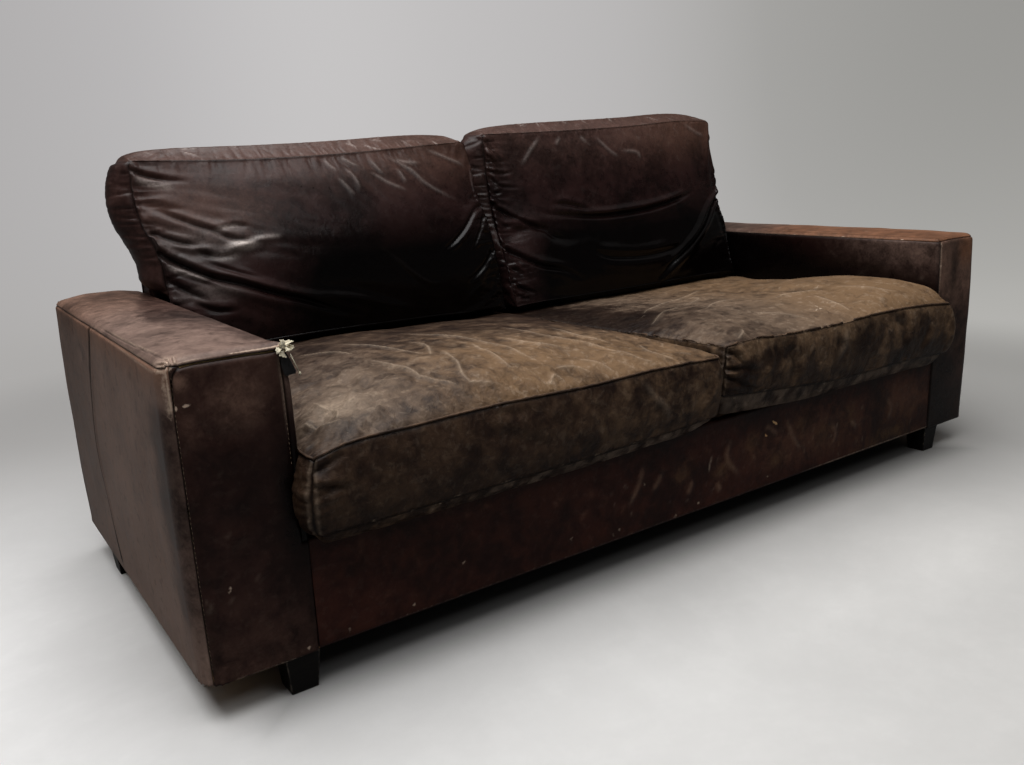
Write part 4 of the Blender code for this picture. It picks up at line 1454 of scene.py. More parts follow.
def arm_surface(sharp, low, high, wide, narrow, turn):
    """Carries points of a sharp box to the arm's form, drawn for the right side.

    Its outer front upright edge has the wide bend and the others the narrow one, and its top edges turn over.
    Also returns how far in from the sides each point is, and which way is out.
    """
    plan = sharp[:, :2]
    low, high = np.asarray(low, float), np.asarray(high, float)
    middle = (low + high) / 2
    outer_front = (plan[:, 0] > middle[0]) & (plan[:, 1] < middle[1])
    radius = np.where(outer_front, wide, narrow)[:, None]
    core = np.clip(plan, low[:2] + radius, high[:2] - radius)
    plan = core + round_corner(plan - core, radius)
    off = plan - core
    in_corner = (np.abs(off) > 1e-9).all(axis=1)
    x, y = plan.T
    gaps = np.stack([x - low[0], high[0] - x, y - low[1], high[1] - y], axis=1)
    ways = np.array([[-1, 0], [1, 0], [0, -1], [0, 1]], float)
    out = np.where(in_corner[:, None], unit(off), ways[gaps.argmin(axis=1)])
    inward = np.where(in_corner, radius[:, 0] - np.linalg.norm(off, axis=1), gaps.min(axis=1))
    z = sharp[:, 2]
    over = np.stack([turn - np.minimum(inward, turn), np.maximum(z - (high[2] - turn), 0)], axis=1)
    both = (over > 1e-9).all(axis=1)
    shift = np.where(both[:, None], round_corner(over, turn) - over, 0)
    plan = plan + out * shift[:, :1]
    z = z + shift[:, 1]
    return np.stack([plan[:, 0], plan[:, 1], z], axis=1), inward, out


def arm_padding(points, sharp, inward, out, side):
    """The soft crown of the arm's top and the slight fullness of its sides."""
    seed = 21 if side == "left" else 34
    made = points.copy()
    upper = sharp[:, 2] > ARM_TOP - TINY
    from_side = np.minimum(sharp[:, 0] - INNER, OUTER - sharp[:, 0])
    crown = 0.0085 * ramp(from_side, 0.0, 0.070) * (0.25 + 0.75 * ramp(sharp[:, 1] - FRONT, 0.0, 0.12))
    made[:, 2] += crown * ramp(sharp[:, 2], ARM_TOP - 0.045, ARM_TOP)
    made[:, 2] += upper * ramp(inward, 0.0, 0.05) * 0.0012 * fractal(points, 0.11, 2, seed)
    sides = ~upper
    height = (sharp[:, 2] - BODY_LOW) / (ARM_TOP - BODY_LOW)
    full = 0.0035 * np.sin(np.pi * np.clip(height, 0, 1)) + 0.0016 * fractal(points, 0.19, 2, seed + 5)
    inner_face = sharp[:, 0] < INNER + TINY
    full = np.where(inner_face, 0.0004, full)
    made[:, :2] += out * (full * sides * ramp(height, 0.0, 0.08) * (1 - ramp(height, 0.93, 1.0)))[:, None]
    return made


def panel_of(middle):
    """Which panel covers a place on the sharp box."""
    a, y, z = middle
    front = y < FRONT + TINY
    rear = y > BACK - TINY
    outer = a > OUTER - TINY
    inner = a < INNER + TINY
    if z < BODY_LOW + TINY:
        return None
    if z > ARM_TOP - TINY:
        return "top"
    if front:
        if z > SEAM_TOP_FRONT:
            return "top"
        if a > SEAM_OUTER:
            return "outer"
        if a < SEAM_INNER and z > DECK:
            return "inner"
        return "front"
    if rear:
        return "top" if z > SEAM_TOP_OUTSIDE else "rear"
    if outer:
        return "top" if z > SEAM_TOP_OUTSIDE else "outer"
    if inner:
        if z > SEAM_TOP_INSIDE:
            return "top"
        if z > DECK:
            return "inner"
        return "front" if y < FRONT + 0.013 else None
    return None


def laid_flat(panel, sharp):
    """A panel laid flat from the front or the bottom, with what turns over an edge laid out beyond it."""
    a, y, z = sharp.T
    tall, deep, wide = ARM_TOP - BODY_LOW, BACK - FRONT, OUTER - INNER
    below = ARM_TOP - z
    if panel == "top":
        across = a - INNER + below * (a > OUTER - TINY) - below * (a < INNER + TINY)
        along = y - FRONT - below * (y < FRONT + TINY) + below * (y > BACK - TINY)
        return Flat(np.stack([across, along], axis=1), wide, deep)
    if panel in ("front", "rear"):
        return Flat(np.stack([a - INNER, z - BODY_LOW], axis=1), wide, tall)
    turned = OUTER - a if panel == "outer" else a - INNER
    return Flat(np.stack([y - FRONT - turned * (y < FRONT + TINY), z - BODY_LOW], axis=1), deep, tall)


def draw_left_top(flat):
    flat.seam_line(1.6, 1.8, "99,45 97,25 92,3", dark=0.5)
    # painted highlights: pale lines beside the topstitch and just below the outer top edge
    flat.mark("crease", 0.40, 1.6, "97.5,44 95.5,25 90,3")
    flat.mark("crease", 0.35, 2, "106,42 105,22 104,6")
    flat.seam_line(1, 2.2, "35,21 41,12 47,4", dark=0.35, taper=(0.4, 0.1))
    flat.patch("scuff", 1.0, (49, 1), (1.6, 0.6))
    for place in (84, 92, 100, 108):
        root = 94 + 0.45 * (place - 94)
        flat.ridge(3, 2.4, ((root, -1.4), ((root + place) / 2, 1.2), (place, 4.4)), taper=(0.1, 0.5))
        flat.mark("scuff", 0.45, 2.6, ((root, -1.4), ((root + place) / 2, 1.2), (place, 4)), taper=(0.1, 0.5))
    flat.patch("scuff", 0.60, (100, 0.4), (12, 2))
    flat.patch("crease", 0.40, (100, 1.2), (16, 3))
    flat.mark("scuff", 0.85, 3, "2,0 25,0 66,-0.1", taper=(0.02, 0.4))
    flat.mark("crease", 0.5, 2.6, "60,0 85,0 100,0")
    flat.patch("scuff", 0.9, (0, 0), (9, 1.4))
    flat.patch("rise", 5, (0, 0), (14, 3))
    flat.mark("crease", 0.3, 2.5, "10,3 22,5 45,5")
    flat.fold(1.4, 10, "15,30 35,42 62,46")
    flat.fold(1.2, 9, "30,62 55,58 80,60")
    flat.scratches("crease", 0.15, 8, 30, 70, 40, 301, (5, 5), (95, 95))


def draw_left_outer(flat):
    flat.seam_line(3, 4, "56,99 63,76 68,47 65,23 62,3", dark=1.0)
    flat.mark("soot", 1.0, 7.5, "56,99 63,76 68,47 65,23 62,0", taper=(0.05, 0.05))
    flat.patch("soot", 0.16, (85, 45), (22, 40))
    flat.ridge(1, 5, "55,97 62,76 67,47 64,23 61,5")
    # painted highlights: pale lines at the top of the front seam and just under the top seam
    flat.mark("crease", 0.45, 1.8, "55.5,99 56.5,95")
    flat.mark("crease", 0.45, 1.8, "2,96.2 20,96.6 42,97.2", taper=(0.1, 0.5))
    flat.mark("scuff", 0.52, 14, "1.2,100 0.6,93 0,86 -0.6,80", taper=(0.0, 0.3))
    flat.mark("scuff", 0.75, 4, "-0.2,100 -0.4,91 -0.8,84", taper=(0.0, 0.2))
    flat.patch("scuff", 0.60, (1.6, 97.5), (3.5, 2))
    for number in range(5):
        place = 0.4 + 1.2 * number
        flat.ridge(1.6, 2.8, ((place, -1), (place + 0.4, 3), (place + 0.2, 7)), taper=(0.05, 0.6))
    flat.mark("scuff", 0.55, 4, "-1,0 30,0 75,0")
    flat.patch("wear", 0.5, (2, 3), (8, 4))
    flat.fold(1.2, 30, "10,80 20,55 12,25")
    flat.patch("soot", 0.35, (3, 72), (6, 20))
    flat.patch("wear", 0.76, (22, 95), (28, 6))
    flat.scratches("crease", 0.12, 10, 30, 60, 50, 203, (2, 5), (95, 95))


def draw_left_front(flat):
    for place, reach in (((84, 87), (3, 0.5)), ((79, 62), (1.2, 0.6)), ((39, 8), (2, 0.6)),
                         ((92, 86.5), (1.6, 0.8)), ((10, 2), (2, 0.6)), ((70, 30), (1, 1))):
        flat.patch("scuff", 1.0, place, reach)
    corner = "94.8,88 93.8,93 90.5,96.2 84,98 74,99"
    flat.seam_line(2.6, 2.6, corner, dark=1.0)
    flat.patch("scuff", 0.80, (95.5, 98), (5.5, 1.6))
    flat.patch("scuff", 0.34, (87, 93.5), (4, 1.2))
    flat.patch("wear", 0.5, (87, 93.5), (8, 3))
    flat.patch("scuff", 0.6, (26, 98.8), (5, 0.4))
    flat.patch("wear", 0.26, (45, 86), (40, 14))
    flat.patch("wear", 0.20, (80, 80), (20, 10))
    flat.patch("soot", 0.55, (42, 60), (38, 20))
    # painted shade: near black at the inner part beside the seat cushion, in the torn hole at the top inner
    # corner and in the split along the top seam
    flat.patch("soot", 0.99, (6, 52), (26, 30))
    flat.patch("soot", 0.60, (0, 20), (12, 30))
    flat.patch("soot", 1.0, (0, 93), (7.5, 4))
    flat.patch("rise", -5, (0, 93), (7.5, 4))
    flat.mark("soot", 0.95, 4.5, "92,98.5 70,99 40,99", taper=(0.0, 0.6))
    flat.mark("scuff", 0.48, 6, "98.5,97 97.5,90 97.2,82", taper=(0.0, 0.3))
    # painted highlights beside the inner seam
    flat.mark("crease", 0.45, 1.6, "8.5,97 8.2,86 7.5,70", taper=(0.05, 0.4))
    flat.mark("crease", 0.35, 1.8, "2,88 2,76")
    flat.ridge(1.4, 10, "50,97 52,88 50,78")
    flat.fold(2, 12, "95,90 70,78 35,74")
    flat.fold(1.6, 14, "85,55 55,50 20,56")
    flat.gathers("right", 1.6, 20, 20, 204)
    flat.scratches("crease", 0.14, 8, 30, -60, 40, 205, (10, 5), (90, 95))
    for number in range(4):
        place = 98 - 6 * number
        flat.ridge(1.4, 2.8, ((place, -1), (place, 3), (place - 1, 7)), taper=(0.05, 0.6))
    flat.mark("scuff", 0.5, 4, "0,0 50,0 100,0")


def draw_left_inner(flat):
    # painted shade in the torn hole at the top front
    flat.patch("soot", 1.0, (0.4, 92.5), (2.2, 4))
    flat.patch("rise", -3, (0.4, 92.5), (2.2, 4))


def draw_right_top(flat):
    flat.seam_line(1.2, 1.8, "6,60 6,30 6,0", dark=0.4)
    # a painted highlight along the inner top edge
    flat.mark("crease", 0.4, 2.2, "-3,95 -3,50 -3,2")
    for place in (12, 33, 52, 71, 90):
        flat.patch("scuff", 0.9, (-2, place), (1.5, 0.6))
    flat.mark("scuff", 0.45, 2.4, "10,-0.6 50,-0.6 90,-0.6")
    flat.patch("scuff", 0.35, (92, 1), (10, 3))
    flat.fold(1.4, 12, "10,25 40,30 80,22")
    flat.scratches("crease", 0.22, 16, 40, 70, 40, 311, (5, 5), (95, 95))


def draw_right_front(flat):
    flat.patch("wear", 0.30, (70, 93), (26, 10))
    flat.patch("warmth", 1.0, (70, 93), (30, 12))
    flat.patch("wear", 0.30, (20, 85), (30, 16))
    flat.patch("soot", 0.7, (42, 84), (12, 12))
    flat.patch("wear", 0.55, (75, 95.5), (30, 3.5))
    flat.patch("warmth", 0.9, (90, 95), (30, 10))
    # a painted highlight beside the inner seam
    flat.mark("crease", 0.5, 1.8, "8,98 8,85 8,70", taper=(0.02, 0.5))
    for place in ((7, 97), (6, 92), (8, 86)):
        flat.patch("scuff", 0.9, place, (2, 0.6))
    flat.mark("scuff", 0.4, 4, "0,0 50,0 100,0")
    flat.scratches("crease", 0.18, 16, 30, 80, 40, 312, (10, 5), (90, 95))


def draw_right_inner(flat):
    # a painted highlight near the front top
    flat.patch("wear", 0.22, (12, 92), (16, 8))
    flat.fold(1.6, 14, "5,72 25,82 50,80")
    flat.scratches("crease", 0.15, 12, 40, 20, 40, 313, (2, 60), (90, 98))


DRAWN = {
    ("left", "top"): draw_left_top,
    ("left", "outer"): draw_left_outer,
    ("left", "front"): draw_left_front,
    ("left", "inner"): draw_left_inner,
    ("right", "top"): draw_right_top,
    ("right", "front"): draw_right_front,
    ("right", "inner"): draw_right_inner,
}


def arm_masks(side, panel, sharp):
    """The broad wear of one arm panel, and on some panels painted sheen, highlight and shade."""
    a, y, z = sharp.T
    none = np.zeros(len(a))
    wear, warmth, soot = none, none + 0.4, none
    if panel == "top" and side == "left":
        feather = 0.014 * fractal(sharp, 0.04, 3, 91)
        edge = feather + through(y, "-32,950 -18,1020 -6,1030 7,1015 27,965 42,920")
        patch = (1 - ramp(a, edge - 0.014, edge + 0.014)) * (0.45 + 0.55 * ramp(y, -0.20, 0.05))
        wear = 0.42 + 0.12 * ramp(a, INNER, OUTER) - 0.24 * patch
        warmth = 0.05 + 0.4 * ramp(y, -0.1, 0.35)
    elif panel == "top":
        wear = 0.38 + 0.22 * ramp(a, INNER, OUTER) + 0.2 * (1 - ramp(y, -0.2, 0.2))
        warmth = 1.0 - 0.85 * ramp(y, 0.05, 0.30)
    elif panel == "outer":
        # painted sheen: the outer side's pale grey is the room's reflection at a grazing view, and it is
        # lighter towards the foot as painted bounce from the floor; a band near the front is darker
        near_front = 1 - ramp(y - FRONT + 0.02 * fractal(sharp, 0.08, 2, 92), 0.03, 0.13)
        dark = near_front * ramp(z, 0.09, 0.20) * (1 - ramp(z, 0.50, 0.545))
        wear = 0.72 + 0.10 * (1 - ramp(z, BODY_LOW, 0.40)) - 0.14 * ramp(y, 0.0, 0.4) - 0.42 * dark
        warmth = 0.05 + 0.60 * ramp(z, 0.52, 0.60)
    elif panel == "front" and side == "left":
        wear = 0.09 + 0.07 * ramp(z, 0.4, ARM_TOP) + 0.08 * (1 - ramp(z, BODY_LOW, 0.25))
    elif panel == "front":
        wear = 0.22 + 0.32 * ramp(z, 0.34, 0.55)
        # darker towards the bottom and towards the inner side
        soot = 0.85 * (1 - ramp(z, 0.16, 0.50)) * (1 - 0.5 * ramp(a, INNER + 0.06, OUTER))
    elif panel == "inner":
        # painted light: the upper front of the inner side is lighter as a painted highlight, and its lower
        # and rear parts go nearly black as painted shade from the seat and the backs
        wear = 0.38 * ramp(z, 0.42, 0.58) * (1 - ramp(y, -0.35, 0.1)) + none
        warmth = none + 0.1
        soot = 0.97 * (1 - ramp(z - 0.25 * (y - FRONT), 0.38, 0.60))
    return {"wear": wear, "warmth": warmth, "soot": soot, "scuff": none, "crease": none}


def split_panels(sharp, quads):
    """Sorts the arm's faces into panels: {name: (faces, point numbers)}."""
    middles = sharp[quads].mean(axis=1)
    names = [panel_of(m) for m in middles]
    found = {}
    for name in ("outer", "front", "top", "inner", "rear"):
        chosen = quads[[n == name for n in names]]
        used, faces = np.unique(chosen, return_inverse=True)
        found[name] = (faces.reshape(-1, 4), used)
    return found


def border_of(faces, count):
    """Marks the points on the open border of some faces."""
    edges = np.concatenate([faces[:, [k, (k + 1) % 4]] for k in range(4)])
    edges = np.sort(edges, axis=1)
    keys, times = np.unique(edges, axis=0, return_counts=True)
    marked = np.zeros(count, bool)
    marked[keys[times == 1].ravel()] = True
    return marked


def thicken(points, faces, normals):
    """Closes an open sheet of leather: its far side is below, and a wall runs round the border."""
    count = len(points)
    edges = np.concatenate([faces[:, [k, (k + 1) % 4]] for k in range(4)])
    twins = {tuple(e[::-1]) for e in edges.tolist()}
    open_edges = np.array([e for e in edges.tolist() if tuple(e) not in twins])
    below = points - normals * LEATHER
    start, end = open_edges.T
    walls = np.stack([end, start, start + count, end + count], axis=1)
    return np.concatenate([points, below]), np.concatenate([faces, faces[:, ::-1] + count, walls])


def make_arm_pad(side_name, finishes):
    """The foam on top of the arm, with the same bends as the leather round it."""
    low, high = (np.array(corner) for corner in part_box("arm_right_top_pad"))
    low[:2] += 0.0012
    high -= 0.0012
    cells = (0.02, 0.03, 0.006)
    lattice = Lattice(*[spaced(length, cell, (0.003, 0.004)) for length, cell in zip(high - low, cells)])
    sharp = low + lattice.share * (high - low)
    points = arm_surface(sharp, low, high, CORNER - 0.004, 0.004, ARM_EDGE - 0.003)[0]
    quads = lattice.quads
    if SIDES[side_name] < 0:
        points = points * np.array([-1, 1, 1])
        quads = quads[:, ::-1]
    obj = add_mesh(f"arm_{side_name}_pad_foam", points, quads, finishes["foam"])
    piece(obj, "foam", f"arm_{side_name}_top_pad")


def stitch_arm(side_name, points, sharp, finishes):
    """Pale thread beside the seams of the arm's front."""
    mirror = np.array([SIDES[side_name], 1, 1])
    parts = []
    rows = ((SEAM_OUTER - 0.003, 0.10, 0.575), (SEAM_INNER + 0.003, 0.40, 0.580))
    if side_name == "right":
        rows = ((SEAM_INNER + 0.003, 0.42, 0.588),)
    for place, start, end in rows:
        chosen = (np.abs(sharp[:, 0] - place) < 1e-5) & (sharp[:, 2] > start) & (sharp[:, 2] < end)
        line = points[chosen][np.argsort(sharp[chosen][:, 2])]
        parts.append(stitches(line * mirror, (0, -1, 0), length=0.0036, gap=0.0044, radius=0.0004,
                              lift=0.0001))
    obj = add_mesh(f"arm_{side_name}_stitches", *joined(parts), finishes["thread"])
    piece(obj, "oxblood_leather")


def petal(path, across, half_widths, thickness):
    """A closed curled scrap of cloth along a path."""
    path = np.asarray(path, float)
    along = unit(np.gradient(path, axis=0))
    turns = 2 * math.pi * np.arange(10) / 10
    rings = []
    for place, way, half in zip(path, along, half_widths):
        normal = np.cross(way, across)
        ring = []
        for turn in turns:
            lift = thickness * math.sin(turn) + 0.35 * half * math.cos(turn) ** 2
            ring.append(place + half * math.cos(turn) * across + lift * normal)
        rings.append(ring)
    return over_rings(rings)


def make_tuft(finishes):
    """Cream lining that has burst from the left arm's inner front top corner."""
    root = np.array([-INNER - 0.007, FRONT + 0.002, ARM_TOP - 0.009])
    rng = np.random.default_rng(77)
    headings = ((0.15, -0.5, 1.0), (0.8, -0.5, 0.7), (1.0, -0.5, 0.1), (0.9, -0.7, -0.5), (0.3, -0.9, -0.8),
                (-0.5, -0.9, 0.4), (0.5, -1.0, 0.3), (0.4, -1.0, -0.4), (-0.1, -1.0, 0.8), (1.0, -0.2, 0.4),
                (0.6, -0.3, 0.9), (0.7, -0.9, 0.0), (0.0, -0.8, -0.3), (-0.2, -0.6, 0.7))
    parts = []
    for heading in headings:
        heading = unit(np.array(heading))
        side = unit(np.cross(heading, rng.normal(size=3)))
        across = np.cross(heading, side)
        length = rng.uniform(0.013, 0.023)
        turn = rng.uniform(0.8, 2.2)
        path = [root + 0.003 * rng.normal(size=3)]
        steps = np.linspace(0, 1, 14)
        for step in steps[1:]:
            angle = turn * step ** 1.6
            path.append(path[-1] + (heading * math.cos(angle) + side * math.sin(angle)) * length / 13)
        halves = 0.0042 * np.sin(np.pi * (0.10 + 0.86 * steps)) * rng.uniform(0.6, 1.3, len(steps))
        parts.append(petal(path, across, halves, 0.0004))
    fall = ((0.008, -0.008, -0.008), (0.013, -0.009, -0.022), (0.020, -0.009, -0.040))
    thread = [root + np.array(offset) for offset in fall]
    parts.append(tube(thread, radius=0.0010))
    knot = [thread[2] + np.array((0.0, 0.0, z)) for z in (0.003, 0.001, -0.001, -0.003)]
    parts.append(tube(knot, radius=[0.0008, 0.0020, 0.0020, 0.0008], sides=8))
    obj = add_mesh("arm_left_torn_lining", *joined(parts), finishes["lining"])
    piece(obj, "foam")
    # a near-black scrap that hangs under the tuft, far darker than the lining cloth: painted shade over the
    # torn hole
    fall = ((-0.001, 0.000, -0.006), (0.001, -0.003, -0.016), (0.003, -0.004, -0.026),
            (0.006, -0.004, -0.036), (0.008, -0.003, -0.041))
    path = [root + np.array(offset) for offset in fall]
    shade_scrap = petal(path, unit(np.array((1.0, -0.35, 0.25))), (0.005, 0.007, 0.0085, 0.0095, 0.0070), 0.0005)
    piece(add_mesh("arm_left_torn_scrap", *shade_scrap, finishes["shade_scrap"]), "lining_cloth")


def make_arm(side_name, finishes):
    side = SIDES[side_name]
    left = side_name == "left"
    a_lines = lines_at(INNER, OUTER, 0.0075, (SEAM_INNER, SEAM_OUTER), [(OUTER - 0.036, OUTER, 0.0026)])
    y_fine = [(FRONT, FRONT + 0.042, 0.0028)] + ([(0.070, 0.200, 0.0034)] if left else [])
    y_lines = lines_at(FRONT, BACK, 0.0085, (), y_fine)
    z_lines = lines_at(BODY_LOW, ARM_TOP, 0.0085, (DECK, SEAM_TOP_OUTSIDE, SEAM_TOP_FRONT),
                       [(ARM_TOP - 0.075, ARM_TOP, 0.0032), (BODY_LOW, BODY_LOW + 0.03, 0.005)])
    spans = [(lines - lines[0]) / (lines[-1] - lines[0]) for lines in (a_lines, y_lines, z_lines)]
    lattice = Lattice(*spans)
    low = np.array([INNER, FRONT, BODY_LOW])
    high = np.array([OUTER, BACK, ARM_TOP])
    sharp = low + lattice.share * (high - low)
    points, inward, out = arm_surface(sharp, low, high, CORNER, UPRIGHT_EDGE, ARM_EDGE)
    points = arm_padding(points, sharp, inward, out, side_name)
    normals = normals_of(points, lattice.quads)
    for name, (faces, used) in split_panels(sharp, lattice.quads).items():
        own, own_normals = points[used], normals[used]
        border = border_of(faces, len(used))
        ring = np.zeros(len(used))
        ring[border & (sharp[used][:, 2] > BODY_LOW + TINY)] = 1.0
        near = np.zeros(len(used))
        for k in range(4):
            np.maximum.at(near, faces[:, k], ring[faces].max(axis=1))
        seam_depth = 0.0024 if name == "front" else 0.0017
        own = own - own_normals * (seam_depth * ring + 0.0005 * (near - ring))[:, None]
        masks = arm_masks(side_name, name, sharp[used])
        if (side_name, name) in DRAWN:
            flat = laid_flat(name, sharp[used])
            DRAWN[side_name, name](flat)
            flat.press(own, own_normals, masks)
        if left and name == "front":
            # the opened top seam of the left arm's front: pressed in, and its gap painted as shade
            x, _, z = sharp[used].T
            gap = bump_at(z, SEAM_TOP_FRONT, 0.0065) * ramp(x, INNER, INNER + 0.04)
            gap = gap * (1 - ramp(x, SEAM_OUTER - 0.03, SEAM_OUTER))
            own = own - own_normals * (0.0050 * gap)[:, None]
            deepen(masks, "soot", gap)
        deepen(masks, "soot", 0.75 * ring)
        if name == "front":
            stitch_arm(side_name, own, sharp[used], finishes)
        made, made_faces = thicken(own, faces, own_normals)
        masks = {key: np.concatenate([value, value]) for key, value in masks.items()}
        if side < 0:
            made = made * np.array([-1, 1, 1])
            made_faces = made_faces[:, ::-1]
        obj = add_mesh(f"arm_{side_name}_{name}_cover", made, made_faces, finishes["arm"], masks)
        piece(obj, "oxblood_leather", f"arm_{side_name}_leather_{name}")


# ---------------------------------------------------------------- rail and fixed back

def sheet_from(rows, material, name, masks_of):
    """An open sheet of points (rows x columns x 3), thickened below its surface."""
    rows = np.asarray(rows, float)
    count, across = rows.shape[:2]
    number = np.arange(count * across).reshape(count, across)
    corners = (number[:-1, :-1], number[:-1, 1:], number[1:, 1:], number[1:, :-1])
    faces = np.stack(corners, axis=-1).reshape(-1, 4)
    points = rows.reshape(-1, 3)
    normals = normals_of(points, faces)
    made, made_faces = thicken(points, faces, normals)
    # the far side isn't seen, so its cells are twice as wide
    far_side = [[n + len(points) for n in cell] for cell in wide_cells(number)]
    made_faces = made_faces[:len(faces)].tolist() + far_side + made_faces[2 * len(faces):].tolist()
    masks = {key: np.concatenate([value, value]) for key, value in masks_of(points).items()}
    return add_mesh(name, made, made_faces, material, masks)


def swept(xs, profile):
    """Rows of points that carry a profile of (y, z) places along X."""
    rows = np.zeros((len(profile), len(xs), 3))
    rows[:, :, 0] = xs
    rows[:, :, 1:] = np.array(profile)[:, None]
    return rows


def tucked(low, high, count, tuck):
    """Places from low to high, with two more beyond each end, the second a tuck away."""
    beyond = np.array([tuck / 2, tuck])
    return np.concatenate([low - beyond[::-1], np.linspace(low, high, count), high + beyond])


# how far an end of the rail's or the back's cover reaches in behind the arm's leather
TUCK = 0.0024
REAR_TUCK = 0.0044


def draw_rail(flat):
    streaks = ("56,78 55,52 58,22", "53,30 54,14", "62,80 65,60",
               "66,86 68,50 70,30", "41,80 40,55 38,30",
               "44,62 42,40", "75,60 77,40 76,22", "80,52 82,36",
               "49,42 48,22", "88,70 90,50 89,30")
    for path in streaks:
        flat.mark("wear", 0.62, 10, path)
        flat.mark("crease", 0.10, 6, path)
        flat.ridge(1.8, 8, path)
    flat.scratches("wear", 0.34, 80, 60, 95, 18, 401, (2, 5), (98, 95), width=10)
    flat.scratches("crease", 0.30, 26, 16, 100, 40, 402, (35, 5), (98, 60), width=2.2)
    flat.mark("crease", 0.8, 2, "52.4,62 52,53 51.8,42")
    flat.mark("crease", 0.5, 2.2, "77.5,52 77.2,44")
    for place in ((41, 54), (30, 20), (16, 34), (10, 10), (3, 9), (63, 12), (36, 9),
                  (37, 12), (50, 10), (46, 6)):
        flat.patch("scuff", 0.8, place, (0.28, 2))
    flat.mark("scuff", 0.55, 3.6, "2,2 40,2 70,2", taper=(0.1, 0.1))
    flat.mark("scuff", 0.80, 4.4, "60,1.5 80,2 100,2", taper=(0.4, 0.0))
    flat.patch("wear", 0.38, (90, 10), (10, 22))
    flat.patch("warmth", 1.0, (90, 10), (14, 30))
    flat.patch("wear", 0.42, (72, 50), (16, 40))
    flat.patch("wear", 0.46, (93, 60), (10, 40))
    # painted shade along the top of the rail, under the seat cushions
    flat.patch("soot", 0.55, (40, 100), (50, 12))
    for place in ((47, 50), (54, 40), (60, 62), (64.5, 30), (70, 66), (74.5, 42), (80, 60)):
        flat.patch("wear", 0.42, place, (2.2, 16))
        flat.patch("warmth", 0.6, place, (2.2, 16))


def make_rail_cover(finishes):
    low, high = RAIL_LOW, RAIL_HIGH
    profile = [(low.y + 0.030, low.z), (low.y + 0.012, low.z), (low.y + 0.004, low.z + 0.001),
               (low.y, low.z + 0.006)]
    profile += [(low.y, z) for z in np.linspace(low.z + 0.010, high.z - 0.014, 34)]
    profile += [(low.y, high.z - 0.006), (low.y, high.z - 0.001), (low.y + 0.002, high.z + 0.0008),
                (low.y + 0.010, high.z + 0.0008)]
    profile += [(y, high.z) for y in np.linspace(low.y + 0.03, high.y, 4)]
    rows = swept(tucked(low.x, high.x, 400, TUCK), profile)
    points = rows.reshape(-1, 3)
    size = high - low
    under = (points[:, 1] - low.y) * (points[:, 2] < low.z + 0.002)
    flat = Flat(np.stack([points[:, 0] - low.x, points[:, 2] - low.z - under], axis=1), size.x, size.z)
    draw_rail(flat)
    face = 1 - ramp(points[:, 1], low.y + 0.001, low.y + 0.012)
    wave = 0.0022 * fractal(points, 0.24, 2, 55) - 0.001 + flat.rise
    points[:, 1] -= wave * face * ramp(points[:, 2], low.z, low.z + 0.03)
    # the ends roll in behind the arms' leather
    beyond = np.maximum(low.x - points[:, 0], points[:, 0] - high.x)
    points[:, 1] += 1.2 * np.maximum(beyond, 0) * face
    none = np.zeros(len(points))
    # the ends that roll in behind the arms' leather are near black, as painted shade in the joint
    masks = {"wear": none + 0.12, "warmth": none, "soot": 0.9 * (beyond > 0), "scuff": none, "crease": none}
    flat.add_marks(masks)
    obj = sheet_from(points.reshape(rows.shape), finishes["rail"], "front_rail_cover", lambda p: masks)
    piece(obj, "oxblood_leather", "front_rail_leather")


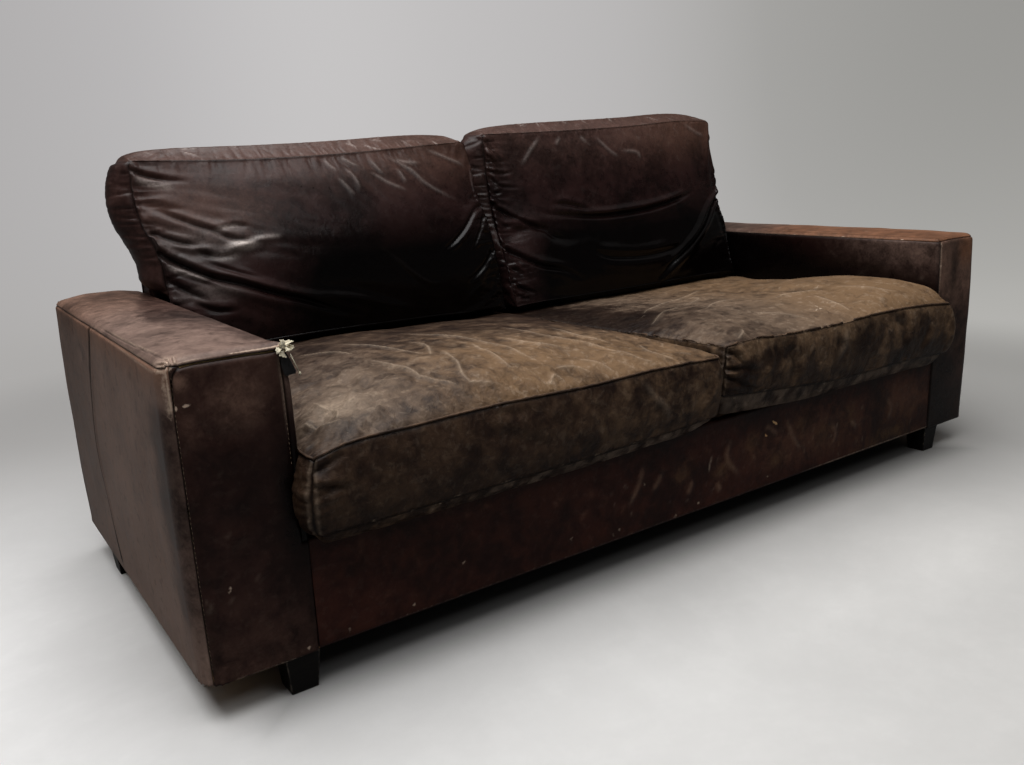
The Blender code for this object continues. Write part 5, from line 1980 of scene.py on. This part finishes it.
def make_back_covers(finishes):
    low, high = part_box("back_leather_inner")
    profile = [(rake(z), z) for z in np.linspace(low.z, high.z - 0.012, 26)]
    top_front = rake(high.z)
    profile += [(top_front + 0.0005, high.z - 0.0015), (top_front + 0.004, high.z)]
    profile += [(y, high.z) for y in np.linspace(top_front + 0.02, high.y - 0.010, 4)]
    profile += [(high.y - 0.003, high.z - 0.003), (high.y, high.z - 0.009)]
    rows = swept(np.linspace(low.x, high.x, 120), profile)

    def plain(p):
        return {"wear": 0.1 + 0.3 * bump_at(p[:, 2], high.z, 0.03)}

    obj = sheet_from(rows, finishes["arm"], "back_inner_cover", plain)
    piece(obj, "oxblood_leather", "back_leather_inner")
    for side_name, side in SIDES.items():
        heights = np.linspace(ARM_TOP - 0.02, high.z - 0.001, 10)
        rows = np.zeros((len(heights), 8, 3))
        for k, height in enumerate(heights):
            rows[k, :, 1] = np.linspace(rake(height) + 0.001, high.y - 0.001, 8)
            rows[k, :, 2] = height
        rows[:, :, 0] = side * (high.x + 0.0016)
        if side < 0:
            rows = rows[:, ::-1]
        obj = sheet_from(rows, finishes["arm"], f"back_end_{side_name}_cover", plain)
        piece(obj, "oxblood_leather")
    low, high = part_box("back_leather_outer")
    # its top edge turns in over the inner cover, and its ends go in behind the arms' leather
    zs = np.concatenate([[low.z], np.linspace(low.z + 0.01, high.z, 40), [high.z + 0.0010]])
    rows = swept(tucked(low.x, high.x, 120, REAR_TUCK)[::-1], [(high.y, z) for z in zs])
    rows[:, [0, -1], 1] -= 0.0024
    rows[:, [1, -2], 1] -= 0.0012
    rows[-1, :, 1] -= 0.0050
    flat = rows.reshape(-1, 3)
    flat[:, 1] += 0.0025 * fractal(flat, 0.3, 2, 77)
    obj = sheet_from(rows, finishes["arm"], "back_outer_cover", plain)
    piece(obj, "oxblood_leather", "back_leather_outer")


# ---------------------------------------------------------------- the frame's own pieces

def finish_frame(finishes):
    """Gives every CAD node the material of its slot, by its material's name."""
    for node in NODES.values():
        slot = node.data.materials[0].name if node.data.materials else ""
        for key in ("timber", "fibreboard", "foam", "webbing", "lining_cloth", "black_wood", "zinc_steel"):
            if key in slot:
                node.data.materials[0] = finishes[key]


finishes = make_materials()
make_room()
make_camera()
make_light()
finish_frame(finishes)
for side_name in SIDES:
    make_arm_pad(side_name, finishes)
    make_arm(side_name, finishes)
    make_seat_cushion(side_name, finishes)
    make_back_cushion(side_name, finishes)
make_tuft(finishes)
make_rail_cover(finishes)
make_back_covers(finishes)
